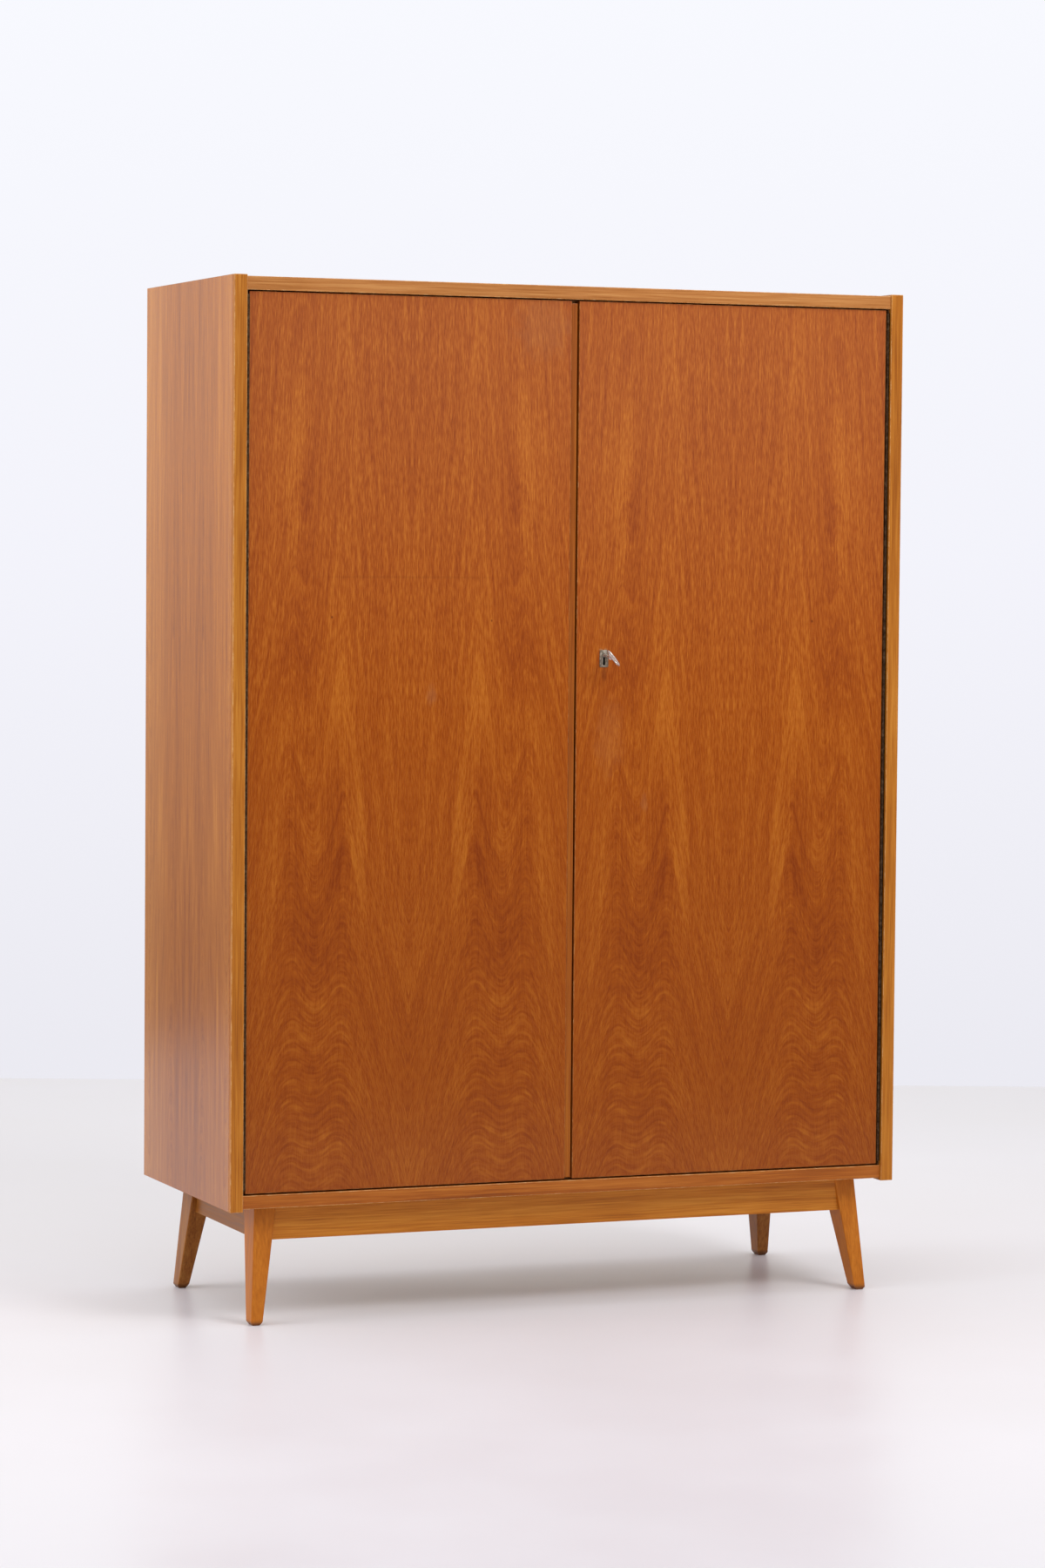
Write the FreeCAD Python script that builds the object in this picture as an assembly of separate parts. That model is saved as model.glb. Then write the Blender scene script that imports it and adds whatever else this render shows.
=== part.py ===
import FreeCAD, Part
import os

os.makedirs("parts", exist_ok=True)

# A two-door wardrobe on splayed legs, in millimetres.
# +X runs to the right along the front, +Y from the front to the back, and +Z up.
# The origin is on the floor, under the middle of the box that holds the whole thing, its key included.

# Case
case_width = 1200.0
case_depth = 475.0
side_height = 1520.0
leg_height = 190.0  # floor to the lower ends of the sides
board_thickness = 22.0  # sides, top and bottom
lipping_depth = 10.0  # solid strip on the front edge of a board
top_drop = 2.5  # top board below the upper ends of the sides
top_setback = 3.0  # top board behind the front edges of the sides
bottom_rise = 4.3  # bottom board above the lower ends of the sides
bottom_setback = 4.5  # bottom board behind the front edges of the sides
back_thickness = 4.0
back_rebate = 10.0  # how far the rebate for the back panel runs into a side
back_fit_gap = 0.5  # back panel to the wall of its rebate

# Doors
door_thickness = 20.0
door_setback = 8.0  # door faces behind the front edges of the sides
door_top_gap = 2.0
door_bottom_gap = 2.5
meeting_centre = 3.0  # middle of the gap between the doors, right of the case's middle
meeting_gap = 3.0
strip_width = 10.5  # solid strip on the left door's free edge
strip_recess = 0.8  # strip behind the door's face
strip_top_short = 4.0
strip_bottom_short = 2.0

# Continuous hinges
barrel_radius = 2.7
barrel_gap = 0.3  # barrel to the side and to the door's edge
hinge_proud = 1.0  # hinge axis in front of the door's face
hinge_end_gap = 5.0  # hinge shorter than the door at each end
hinge_pin_radius = 1.2
hinge_pin_fit = 0.05
leaf_thickness = 1.0
leaf_width = 17.0  # from the hinge axis
knuckle_length = 30.0
knuckle_gap = 0.4
hinge_screw_pitch = 120.0
hinge_screw_inset = 35.0

# Partition, shelves and clothes rail
partition_thickness = 22.0
stop_pad_radius = 2.8
stop_pad_thickness = 1.5
stop_pad_gap = 0.3  # felt dot to the back of a closed door
stop_pad_inset = 120.0  # felt dots from the ends of the partition
shelf_thickness = 18.0
shelf_count = 4
shelf_side_gap = 1.0
shelf_back_gap = 0.5
shelf_front_gap = 12.0  # shelf behind the inner face of the lock
hat_space = 160.0  # clear height above the hat shelf
rail_drop = 45.0  # clothes rail's axis below the hat shelf
rail_radius = 11.0
rail_fit = 0.2
socket_flange_radius = 22.0
socket_flange_thickness = 3.0
socket_wall = 4.0
socket_length = 14.0
shelf_pin_radius = 2.5
shelf_pin_depth = 8.0  # in the board
shelf_pin_reach = 10.0  # under the shelf
shelf_pin_tongue = 9.0
shelf_pin_tongue_thickness = 1.5
shelf_pin_inset = 45.0  # from the shelf's front and back edges

# Lock, key plate and key
key_backset = 49.4  # key axis from the right door's free edge
key_height = 905.0  # key axis above the lower ends of the sides
key_turn = 40.0  # key turned from upright, seen from the front, anticlockwise
key_ahead = 40.0  # middle of the bow in front of the key plate
key_stem_radius = 2.7
key_collar_radius = 3.9
key_collar_length = 3.0
key_bit_reach = 13.0  # from the key axis
key_bit_width = 7.0
key_bit_thickness = 2.4
key_bit_start = 3.0  # bit behind the inner face of the door
bow_length = 33.0
bow_width = 19.0
bow_rim = 3.4
bow_thickness = 3.0
keyhole_radius = 3.3
keyhole_slot_width = 3.6
keyhole_depth = 16.0  # slot's lower end below the key axis
keyhole_door_margin = 0.6  # hole in the door wider than in the plate
plate_width = 15.7
plate_height = 28.8
plate_thickness = 1.2
plate_corner = 2.5
plate_drop = 5.0  # plate's middle below the key axis
plate_pin_inset = 2.4
plate_pin_radius = 0.6
plate_pin_head = 0.9
plate_pin_head_height = 0.4
plate_pin_length = 10.0
lock_gap = 4.0  # lock to the partition
lock_beyond_key = 30.0  # lock's far end from the key axis
lock_wall = 1.5
lock_inner_gap = 3.0  # free space above the bolt and below the bit
lock_flange = 12.0
lock_screw_inset = 9.0
lock_fit = 0.08  # key stem in the case
bolt_height = 12.0
bolt_thickness = 7.0
bolt_length = 50.0
bolt_fit = 0.3
bolt_key_gap = 1.0  # bolt above the circle of the bit
bolt_proud = 1.0  # bolt out of the case with the key as it stands
bolt_throw = 8.0  # further travel of the bolt
bolt_slot_room = 0.5
bolt_guide_radius = 2.0
bolt_guide_setback = 36.0  # guide stud from the case's near end
strike_border = 3.0
strike_height = 46.0
strike_thickness = 1.5
strike_room = 2.0  # mortise beyond the thrown bolt

# Slide bolts on the left door
slide_offset = 34.0  # bolt's axis from the partition
slide_radius = 4.0
slide_fit = 0.08
slide_throw = 12.0
slide_rest_drop = 1.0  # drawn bolt below the door's end
slide_length = 84.0
slide_knob_radius = 3.5
slide_knob_length = 12.0
slide_plate_width = 26.0
slide_plate_length = 96.0
slide_plate_thickness = 1.5
slide_plate_gap = 0.3  # bolt above its plate
slide_loop_wall = 2.2
slide_loop_height = 12.0
slide_loop_inset = 12.0  # loops from the ends of the plate
slide_screw_inset = 6.0  # screws from the far end of the plate
keeper_width = 34.0
keeper_depth = 14.0
keeper_thickness = 1.5
keeper_hole_gap = 0.6
keeper_room = 3.0  # hole beyond the thrown bolt
keeper_screw_inset = 5.5

# Base
leg_top_width = 37.8
leg_top_depth = 56.7
leg_top_side_inset = 54.6
leg_top_front_inset = 39.6
leg_foot_width = 19.7
leg_foot_depth = 27.9
leg_foot_side_inset = 41.6
leg_foot_front_inset = 14.6
leg_back_shift = 20.7  # back legs further in than the front legs
leg_edge_round = 2.0
foot_chamfer_height = 6.0
foot_chamfer_inset = 4.0
base_rail_drop = 53.0  # rails below the lower ends of the sides
base_rail_thickness = 20.0
front_rail_reveal = 0.4  # front rail behind the leg's face at the top
side_rail_reveal = 6.4  # side rail behind the leg's outer face at the top
base_block_length = 44.0
base_block_size = 22.0
base_block_offset = 220.0  # blocks from the middle of the front and back rails

# Dowels and screws
dowel_radius = 4.0
dowel_length = 34.0
dowel_in_board_face = 13.0  # part of a dowel in the face of a board
dowel_fit = 0.05
dowel_end_gap = 0.5
dowel_chamfer = 1.0
case_dowel_count = 5
case_dowel_inset = 45.0
partition_dowel_count = 4
base_dowel_spacing = 28.0
screw_head_radius = 3.0
screw_head_depth = 1.8
screw_shank_radius = 1.5
screw_point = 3.0
screw_length = 14.0
base_screw_length = 36.0
base_screw_spacing = 18.0
screw_fit = 0.05
back_screw_pitch = 190.0
back_screw_inset = 60.0

along_x = FreeCAD.Vector(1, 0, 0)
along_y = FreeCAD.Vector(0, 1, 0)
along_z = FreeCAD.Vector(0, 0, 1)
sides = {"left": -1, "right": 1}
pieces = {}

# Places that several pieces share
half_width = case_width / 2
inner_x = half_width - board_thickness
key_reach = key_ahead + bow_width / 2 + plate_thickness - door_setback
case_front = (key_reach - case_depth) / 2
case_back = case_front + case_depth
back_front = case_back - back_thickness
side_low = leg_height
side_high = leg_height + side_height
bottom_low = side_low + bottom_rise
bottom_high = bottom_low + board_thickness
top_high = side_high - top_drop
top_low = top_high - board_thickness
door_front = case_front + door_setback
door_back = door_front + door_thickness
door_low = bottom_high + door_bottom_gap
door_high = top_low - door_top_gap
hinge_gap = 2 * (barrel_radius + barrel_gap)
hinge_x = inner_x - hinge_gap / 2
hinge_y = door_front - hinge_proud
door_edge_x = inner_x - hinge_gap
hinge_low = door_low + hinge_end_gap
hinge_high = door_high - hinge_end_gap
strip_edge_x = meeting_centre - meeting_gap / 2
left_panel_edge_x = strip_edge_x - strip_width
right_panel_edge_x = meeting_centre + meeting_gap / 2
partition_x = partition_thickness / 2
partition_front = door_back + stop_pad_gap + stop_pad_thickness
key_x = right_panel_edge_x + key_backset
key_z = side_low + key_height
plate_front = door_front - plate_thickness
lock_left = partition_x + lock_gap
lock_right = key_x + lock_beyond_key
bolt_low = key_z + key_bit_reach + bolt_key_gap
bolt_high = bolt_low + bolt_height
bolt_front = partition_front + strike_border + bolt_fit
bolt_back = bolt_front + bolt_thickness
lock_back = bolt_back + bolt_fit + lock_wall
lock_low = key_z - key_bit_reach - lock_inner_gap - lock_wall
lock_high = bolt_high + lock_inner_gap + lock_wall
shelf_front = lock_back + shelf_front_gap
shelf_back = back_front - shelf_back_gap
hat_low = top_low - hat_space - shelf_thickness
rail_z = hat_low - rail_drop
rail_y = (partition_front + back_front) / 2
slide_x = -partition_x - slide_offset
slide_y = door_back + slide_plate_thickness + slide_plate_gap + slide_radius


def block(x, y, z):
    corner = FreeCAD.Vector(min(x), min(y), min(z))
    return Part.makeBox(max(x) - min(x), max(y) - min(y), max(z) - min(z), corner)


def turned(profile, place, direction):
    # A solid of revolution: the profile is radius and height, and the height runs along the direction.
    points = [FreeCAD.Vector(radius, 0, height) for radius, height in profile]
    face = Part.Face(Part.makePolygon(points + points[:1]))
    solid = face.revolve(FreeCAD.Vector(), along_z, 360)
    solid.Placement = FreeCAD.Placement(place, FreeCAD.Rotation(along_z, direction))
    return solid


def spread(low, high, count):
    step = (high - low) / (count - 1)
    return [low + step * index for index in range(count)]


def spread_by_pitch(low, high, pitch):
    return spread(low, high, int((high - low) // pitch) + 2)


def drill(tools, *names):
    for name in names:
        pieces[name] = pieces[name].cut(tools)


def screw(place, direction, length, grow=0.0):
    shank = screw_shank_radius + grow
    profile = [
        (0, 0),
        (screw_head_radius + grow, 0),
        (shank, screw_head_depth),
        (shank, length - screw_point),
        (0, length + grow),
    ]
    return turned(profile, place, direction)


def screws(places, direction, names, length=screw_length):
    # Countersunk screws through the named pieces, which get the holes.
    drill([screw(place, direction, length, screw_fit) for place in places], *names)
    return [screw(place, direction, length) for place in places]


def dowels(places, direction, names):
    # Dowels that start in the face of one piece and end in the other.
    solids = []
    holes = []
    for place in places:
        start = place - direction * dowel_in_board_face
        narrow = dowel_radius - dowel_chamfer
        profile = [
            (0, 0),
            (narrow, 0),
            (dowel_radius, dowel_chamfer),
            (dowel_radius, dowel_length - dowel_chamfer),
            (narrow, dowel_length),
            (0, dowel_length),
        ]
        solids.append(turned(profile, start, direction))
        hole_start = start - direction * dowel_end_gap
        hole_length = dowel_length + 2 * dowel_end_gap
        holes.append(Part.makeCylinder(dowel_radius + dowel_fit, hole_length, hole_start, direction))
    drill(holes, *names)
    return solids


def case_boards():
    for side, sign in sides.items():
        outline = (sign * inner_x, sign * half_width)
        board = block(outline, (case_front + lipping_depth, case_back), (side_low, side_high))
        rebate_x = (sign * inner_x, sign * (inner_x + back_rebate))
        rebate = block(rebate_x, (back_front, case_back), (side_low, side_high))
        pieces["side_panel_" + side] = board.cut(rebate)
        lipping_y = (case_front, case_front + lipping_depth)
        pieces["side_lipping_" + side] = block(outline, lipping_y, (side_low, side_high))
    levels = {
        "top": (case_front + top_setback, (top_low, top_high)),
        "bottom": (case_front + bottom_setback, (bottom_low, bottom_high)),
    }
    for level, (front, height) in levels.items():
        behind = front + lipping_depth
        pieces[level + "_board"] = block((-inner_x, inner_x), (behind, back_front), height)
        pieces[level + "_lipping"] = block((-inner_x, inner_x), (front, behind), height)
    back_x = inner_x + back_rebate - back_fit_gap
    pieces["back_panel"] = block((-back_x, back_x), (back_front, case_back), (bottom_low, top_high))
    partition_y = (partition_front, back_front)
    pieces["partition"] = block((-partition_x, partition_x), partition_y, (bottom_high, top_low))


def case_dowels():
    group = []
    depths = spread(case_front + case_dowel_inset, back_front - case_dowel_inset, case_dowel_count)
    for level, middle in (("top", (top_low + top_high) / 2), ("bottom", (bottom_low + bottom_high) / 2)):
        for side, sign in sides.items():
            places = [FreeCAD.Vector(sign * inner_x, depth, middle) for depth in depths]
            group += dowels(places, along_x * -sign, ("side_panel_" + side, level + "_board"))
    nearest = partition_front + case_dowel_inset
    depths = spread(nearest, back_front - case_dowel_inset, partition_dowel_count)
    for level, height, direction in (("top", top_low, -along_z), ("bottom", bottom_high, along_z)):
        places = [FreeCAD.Vector(0, depth, height) for depth in depths]
        group += dowels(places, direction, (level + "_board", "partition"))
    pieces["case_dowels"] = Part.makeCompound(group)


def back_screws():
    group = []
    across = spread_by_pitch(-inner_x + back_screw_inset, inner_x - back_screw_inset, back_screw_pitch)
    upward = spread_by_pitch(bottom_high + back_screw_inset, top_low - back_screw_inset, back_screw_pitch)
    for level, height in (("top", (top_low + top_high) / 2), ("bottom", (bottom_low + bottom_high) / 2)):
        places = [FreeCAD.Vector(place, case_back, height) for place in across]
        group += screws(places, -along_y, ("back_panel", level + "_board"))
    for side, sign in sides.items():
        edge = sign * (inner_x + (back_rebate - back_fit_gap) / 2)
        places = [FreeCAD.Vector(edge, case_back, height) for height in upward]
        group += screws(places, -along_y, ("back_panel", "side_panel_" + side))
    places = [FreeCAD.Vector(0, case_back, height) for height in upward]
    group += screws(places, -along_y, ("back_panel", "partition"))
    pieces["back_panel_screws"] = Part.makeCompound(group)


def stop_pads():
    group = []
    left_x = (strip_edge_x - partition_x) / 2
    right_x = (right_panel_edge_x + partition_x) / 2
    for place_x in (left_x, right_x):
        for height in (bottom_high + stop_pad_inset, top_low - stop_pad_inset):
            place = FreeCAD.Vector(place_x, partition_front, height)
            group.append(Part.makeCylinder(stop_pad_radius, stop_pad_thickness, place, -along_y))
    pieces["door_stop_pads"] = Part.makeCompound(group)


def shelf_pin(face_x, depth, shelf_low, outward):
    # A peg with a flat tongue under the shelf, and the peg's hole in the board.
    direction = along_x * outward
    axis = FreeCAD.Vector(face_x, depth, shelf_low - shelf_pin_radius)
    length = shelf_pin_depth + shelf_pin_reach
    peg = Part.makeCylinder(shelf_pin_radius, length, axis - direction * shelf_pin_depth, direction)
    tongue_x = (face_x, face_x + outward * shelf_pin_reach)
    tongue_y = (depth - shelf_pin_tongue / 2, depth + shelf_pin_tongue / 2)
    tongue = block(tongue_x, tongue_y, (shelf_low - shelf_pin_tongue_thickness, shelf_low))
    hole_depth = shelf_pin_depth + dowel_end_gap
    hole = Part.makeCylinder(shelf_pin_radius + dowel_fit, hole_depth, axis, -direction)
    return peg.fuse(tongue).removeSplitter(), hole


def shelves():
    pins = []
    pitch = (top_low - bottom_high - shelf_count * shelf_thickness) / (shelf_count + 1) + shelf_thickness
    lowest = bottom_high + pitch - shelf_thickness
    plan = {"hat_shelf": ("left", hat_low)}
    for index in range(shelf_count):
        plan["linen_shelf_%d" % (index + 1)] = ("right", lowest + index * pitch)
    for name, (side, low) in plan.items():
        sign = sides[side]
        shelf_x = (sign * (partition_x + shelf_side_gap), sign * (inner_x - shelf_side_gap))
        pieces[name] = block(shelf_x, (shelf_front, shelf_back), (low, low + shelf_thickness))
        for depth in (shelf_front + shelf_pin_inset, shelf_back - shelf_pin_inset):
            for board, face_x, outward in (
                ("partition", sign * partition_x, sign),
                ("side_panel_" + side, sign * inner_x, -sign),
            ):
                pin, hole = shelf_pin(face_x, depth, low, outward)
                drill([hole], board)
                pins.append(pin)
    pieces["shelf_pins"] = Part.makeCompound(pins)


def clothes_rail():
    # The rail, its two sockets, and the sockets' screws, which are returned.
    group = []
    bore = rail_radius + rail_fit
    profile = [
        (0, 0),
        (socket_flange_radius, 0),
        (socket_flange_radius, socket_flange_thickness),
        (bore + socket_wall, socket_flange_thickness),
        (bore + socket_wall, socket_length),
        (bore, socket_length),
        (bore, socket_flange_thickness),
        (0, socket_flange_thickness),
    ]
    screw_radius = (bore + socket_wall + socket_flange_radius) / 2
    seats = (
        ("rail_socket_left", "side_panel_left", -inner_x, along_x),
        ("rail_socket_right", "partition", -partition_x, -along_x),
    )
    for name, board, face_x, direction in seats:
        seat = FreeCAD.Vector(face_x, rail_y, rail_z)
        pieces[name] = turned(profile, seat, direction)
        head = seat + direction * socket_flange_thickness
        places = [head + along_z * screw_radius, head - along_z * screw_radius]
        group += screws(places, -direction, (name, board))
    floor = socket_flange_thickness + rail_fit
    start = FreeCAD.Vector(-inner_x + floor, rail_y, rail_z)
    length = inner_x - partition_x - 2 * floor
    pieces["clothes_rail"] = Part.makeCylinder(rail_radius, length, start, along_x)
    return group


def doors():
    height = (door_low, door_high)
    thickness = (door_front, door_back)
    pieces["door_left_panel"] = block((-door_edge_x, left_panel_edge_x), thickness, height)
    strip_height = (door_low + strip_bottom_short, door_high - strip_top_short)
    strip_y = (door_front + strip_recess, door_back)
    pieces["meeting_strip"] = block((left_panel_edge_x, strip_edge_x), strip_y, strip_height)
    pieces["door_right_panel"] = block((right_panel_edge_x, door_edge_x), thickness, height)


def hinge_leaf(sign, face_x, first_gap):
    # One leaf: a plate on the face and a barrel, with every second knuckle cut away.
    bottom = FreeCAD.Vector(sign * hinge_x, hinge_y, hinge_low)
    length = hinge_high - hinge_low
    barrel = Part.makeCylinder(barrel_radius, length, bottom, along_z)
    inward = sign * hinge_x - face_x
    plate_x = (face_x, face_x + leaf_thickness * inward / abs(inward))
    plate = block(plate_x, (hinge_y, hinge_y + leaf_width), (hinge_low, hinge_high))
    bore = Part.makeCylinder(hinge_pin_radius + hinge_pin_fit, length, bottom, along_z)
    leaf = barrel.fuse(plate).cut(bore)
    count = int(length // knuckle_length)
    pitch = length / count
    room = barrel_radius + barrel_gap
    gaps = []
    for index in range(first_gap, count, 2):
        low = hinge_low + index * pitch - knuckle_gap / 2
        across = (sign * hinge_x - room, sign * hinge_x + room)
        gaps.append(block(across, (hinge_y - room, hinge_y + room), (low, low + pitch + knuckle_gap)))
    return leaf.cut(gaps)


def hinges():
    lowest = hinge_low + hinge_screw_inset
    heights = spread_by_pitch(lowest, hinge_high - hinge_screw_inset, hinge_screw_pitch)
    screw_y = hinge_y + (barrel_radius + barrel_gap + leaf_width) / 2
    frame_group = []
    for side, sign in sides.items():
        frame_leaf = "hinge_frame_leaf_" + side
        door_leaf = "hinge_door_leaf_" + side
        pieces[frame_leaf] = hinge_leaf(sign, sign * inner_x, 1)
        pieces[door_leaf] = hinge_leaf(sign, sign * door_edge_x, 0)
        bottom = FreeCAD.Vector(sign * hinge_x, hinge_y, hinge_low)
        pin = Part.makeCylinder(hinge_pin_radius, hinge_high - hinge_low, bottom, along_z)
        pieces["hinge_pin_" + side] = pin
        frame_x = sign * (inner_x - leaf_thickness)
        places = [FreeCAD.Vector(frame_x, screw_y, height) for height in heights]
        frame_group += screws(places, along_x * sign, (frame_leaf, "side_panel_" + side))
        door_x = sign * (door_edge_x + leaf_thickness)
        places = [FreeCAD.Vector(door_x, screw_y, height) for height in heights]
        door_group = screws(places, along_x * -sign, (door_leaf, "door_%s_panel" % side))
        pieces["hinge_door_screws_" + side] = Part.makeCompound(door_group)
    pieces["hinge_frame_screws"] = Part.makeCompound(frame_group)


def keyhole(front, back, margin):
    # A round hole with a slot below it.
    axis = FreeCAD.Vector(key_x, front, key_z)
    hole = Part.makeCylinder(keyhole_radius + margin, back - front, axis, along_y)
    half_slot = keyhole_slot_width / 2 + margin
    slot_z = (key_z - keyhole_depth - margin, key_z)
    slot = block((key_x - half_slot, key_x + half_slot), (front, back), slot_z)
    return hole.fuse(slot)


def key_plate():
    middle = key_z - plate_drop
    plate_x = (key_x - plate_width / 2, key_x + plate_width / 2)
    plate_z = (middle - plate_height / 2, middle + plate_height / 2)
    plate = block(plate_x, (plate_front, door_front), plate_z)
    corners = [edge for edge in plate.Edges if abs(edge.tangentAt(edge.FirstParameter).y) > 0.5]
    plate = plate.makeFillet(plate_corner, corners)
    pieces["key_plate"] = plate.cut(keyhole(plate_front, door_front, 0))
    drill([keyhole(door_front, door_back, keyhole_door_margin)], "door_right_panel")
    pins = []
    holes = []
    profile = [
        (0, -plate_pin_head_height),
        (plate_pin_head, 0),
        (plate_pin_radius, 0),
        (plate_pin_radius, plate_pin_length),
        (0, plate_pin_length),
    ]
    for height in (plate_z[0] + plate_pin_inset, plate_z[1] - plate_pin_inset):
        head = FreeCAD.Vector(key_x, plate_front, height)
        pins.append(turned(profile, head, along_y))
        hole_length = plate_pin_length + dowel_end_gap
        holes.append(Part.makeCylinder(plate_pin_radius + screw_fit, hole_length, head, along_y))
    drill(holes, "key_plate", "door_right_panel")
    pieces["key_plate_pins"] = Part.makeCompound(pins)


def lock():
    # A surface lock on the inner face of the right door: a case open towards the door, and its bolt.
    inside_x = (lock_left + lock_wall, lock_right - lock_wall)
    inside_z = (lock_low + lock_wall, lock_high - lock_wall)
    box = block((lock_left, lock_right), (door_back, lock_back), (lock_low, lock_high))
    flange_z = (lock_low - lock_flange, lock_high + lock_flange)
    flange = block((lock_left, lock_right), (door_back, door_back + lock_wall), flange_z)
    inside = block(inside_x, (door_back, lock_back - lock_wall), inside_z)
    guide_x = lock_left + bolt_guide_setback
    guide_foot = FreeCAD.Vector(guide_x, lock_back - lock_wall, (bolt_low + bolt_high) / 2)
    guide_length = lock_back - lock_wall - bolt_front
    guide = Part.makeCylinder(bolt_guide_radius, guide_length, guide_foot, -along_y)
    mouth_y = (bolt_front - bolt_fit, bolt_back + bolt_fit)
    mouth_z = (bolt_low - bolt_fit, bolt_high + bolt_fit)
    mouth = block((lock_left, lock_left + lock_wall), mouth_y, mouth_z)
    stem_end = FreeCAD.Vector(key_x, lock_back - lock_wall, key_z)
    stem_hole = Part.makeCylinder(key_stem_radius + lock_fit, lock_wall, stem_end, along_y)
    pieces["lock_case"] = box.fuse(flange).cut(inside).cut([mouth, stem_hole]).fuse(guide).removeSplitter()
    screw_x = (lock_left + lock_screw_inset, lock_right - lock_screw_inset)
    screw_z = (lock_low - lock_flange / 2, lock_high + lock_flange / 2)
    places = [FreeCAD.Vector(x, door_back + lock_wall, z) for x in screw_x for z in screw_z]
    group = screws(places, -along_y, ("lock_case", "door_right_panel"))
    pieces["lock_screws"] = Part.makeCompound(group)
    tip = lock_left - bolt_proud
    bolt = block((tip, tip + bolt_length), (bolt_front, bolt_back), (bolt_low, bolt_high))
    room = bolt_guide_radius + bolt_slot_room
    slot_x = (guide_x - bolt_proud - room, guide_x + bolt_throw + room)
    slot_z = (guide_foot.z - bolt_guide_radius - bolt_fit, guide_foot.z + bolt_guide_radius + bolt_fit)
    pieces["lock_bolt"] = bolt.cut(block(slot_x, (bolt_front, bolt_back), slot_z))


def strike_plate():
    # A plate let in flush in the partition, with a mortise for the thrown bolt; returns its screws.
    middle = (bolt_low + bolt_high) / 2
    plate_y = (bolt_front - bolt_fit - strike_border, bolt_back + bolt_fit + strike_border)
    plate_z = (middle - strike_height / 2, middle + strike_height / 2)
    plate_x = (partition_x - strike_thickness, partition_x)
    mortise_y = (bolt_front - bolt_fit, bolt_back + bolt_fit)
    mortise_z = (bolt_low - bolt_fit, bolt_high + bolt_fit)
    thrown_tip = lock_left - bolt_proud - bolt_throw
    mortise = block((thrown_tip - strike_room, partition_x), mortise_y, mortise_z)
    plate = block(plate_x, plate_y, plate_z)
    drill([plate, mortise], "partition")
    pieces["strike_plate"] = plate.cut(mortise)
    screw_y = (bolt_front + bolt_back) / 2
    heights = ((plate_z[0] + mortise_z[0]) / 2, (plate_z[1] + mortise_z[1]) / 2)
    places = [FreeCAD.Vector(partition_x, screw_y, height) for height in heights]
    return screws(places, -along_x, ("strike_plate", "partition"))


def key():
    # Drawn upright, with the bit down, and then turned about its stem.
    bow_y = plate_front - key_ahead
    bow_back = bow_y + bow_width / 2
    outer = Part.Ellipse(FreeCAD.Vector(), bow_length / 2, bow_width / 2)
    inner = Part.Ellipse(FreeCAD.Vector(), bow_length / 2 - bow_rim, bow_width / 2 - bow_rim)
    rims = [Part.Face(Part.Wire(curve.toShape())) for curve in (outer, inner)]
    bow = rims[0].cut(rims[1]).extrude(along_z * bow_thickness)
    stand = FreeCAD.Rotation(along_y, -90)
    bow.Placement = FreeCAD.Placement(FreeCAD.Vector(key_x + bow_thickness / 2, bow_y, key_z), stand)
    stem_start = FreeCAD.Vector(key_x, bow_back - bow_rim / 2, key_z)
    stem = Part.makeCylinder(key_stem_radius, lock_back - stem_start.y, stem_start, along_y)
    collar_start = FreeCAD.Vector(key_x, bow_back, key_z)
    collar = Part.makeCylinder(key_collar_radius, key_collar_length, collar_start, along_y)
    bit_x = (key_x - key_bit_thickness / 2, key_x + key_bit_thickness / 2)
    bit_y = (door_back + key_bit_start, door_back + key_bit_start + key_bit_width)
    bit = block(bit_x, bit_y, (key_z - key_bit_reach, key_z))
    whole = bow.fuse([stem, collar, bit]).removeSplitter()
    whole.rotate(FreeCAD.Vector(key_x, 0, key_z), -along_y, key_turn)
    pieces["key"] = whole


def slide_bolt(level, end, up, board):
    # A round bolt in two loops on a plate, at one end of the left door, and its keeper in the board.
    # The end is the height of the door's end, and up is 1 or -1, the way the bolt goes out.
    plate_end = end - up * slide_rest_drop
    plate_x = (slide_x - slide_plate_width / 2, slide_x + slide_plate_width / 2)
    plate_y = (door_back, door_back + slide_plate_thickness)
    plate_z = (plate_end - up * slide_plate_length, plate_end)
    plate = block(plate_x, plate_y, plate_z)
    loop_x = slide_radius + slide_fit + slide_loop_wall
    loop_y = (door_back, slide_y + loop_x)
    first_loop = plate_end - up * slide_loop_inset
    second_loop = plate_end - up * (slide_length - slide_loop_inset)
    for near in (first_loop, second_loop):
        loop_z = (near, near - up * slide_loop_height)
        plate = plate.fuse(block((slide_x - loop_x, slide_x + loop_x), loop_y, loop_z))
    start = FreeCAD.Vector(slide_x, slide_y, plate_end)
    hole = Part.makeCylinder(slide_radius + slide_fit, slide_plate_length, start, along_z * -up)
    plate_name = "bolt_plate_" + level
    pieces[plate_name] = plate.cut(hole).removeSplitter()
    bolt = Part.makeCylinder(slide_radius, slide_length, start, along_z * -up)
    knob_z = (first_loop - up * slide_loop_height + second_loop) / 2 - up * slide_throw / 2
    knob_start = FreeCAD.Vector(slide_x, slide_y, knob_z)
    knob = Part.makeCylinder(slide_knob_radius, slide_radius + slide_knob_length, knob_start, along_y)
    pieces["slide_bolt_" + level] = bolt.fuse(knob).removeSplitter()
    face_z = top_low if up > 0 else bottom_high
    keeper_x = (slide_x - keeper_width / 2, slide_x + keeper_width / 2)
    keeper_y = (slide_y - keeper_depth / 2, slide_y + keeper_depth / 2)
    keeper = block(keeper_x, keeper_y, (face_z, face_z + up * keeper_thickness))
    hole_depth = slide_throw + keeper_room
    hole_start = FreeCAD.Vector(slide_x, slide_y, face_z)
    hole = Part.makeCylinder(slide_radius + keeper_hole_gap, hole_depth, hole_start, along_z * up)
    drill([keeper, hole], board)
    return keeper.cut(hole), plate_name, plate_end


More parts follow.
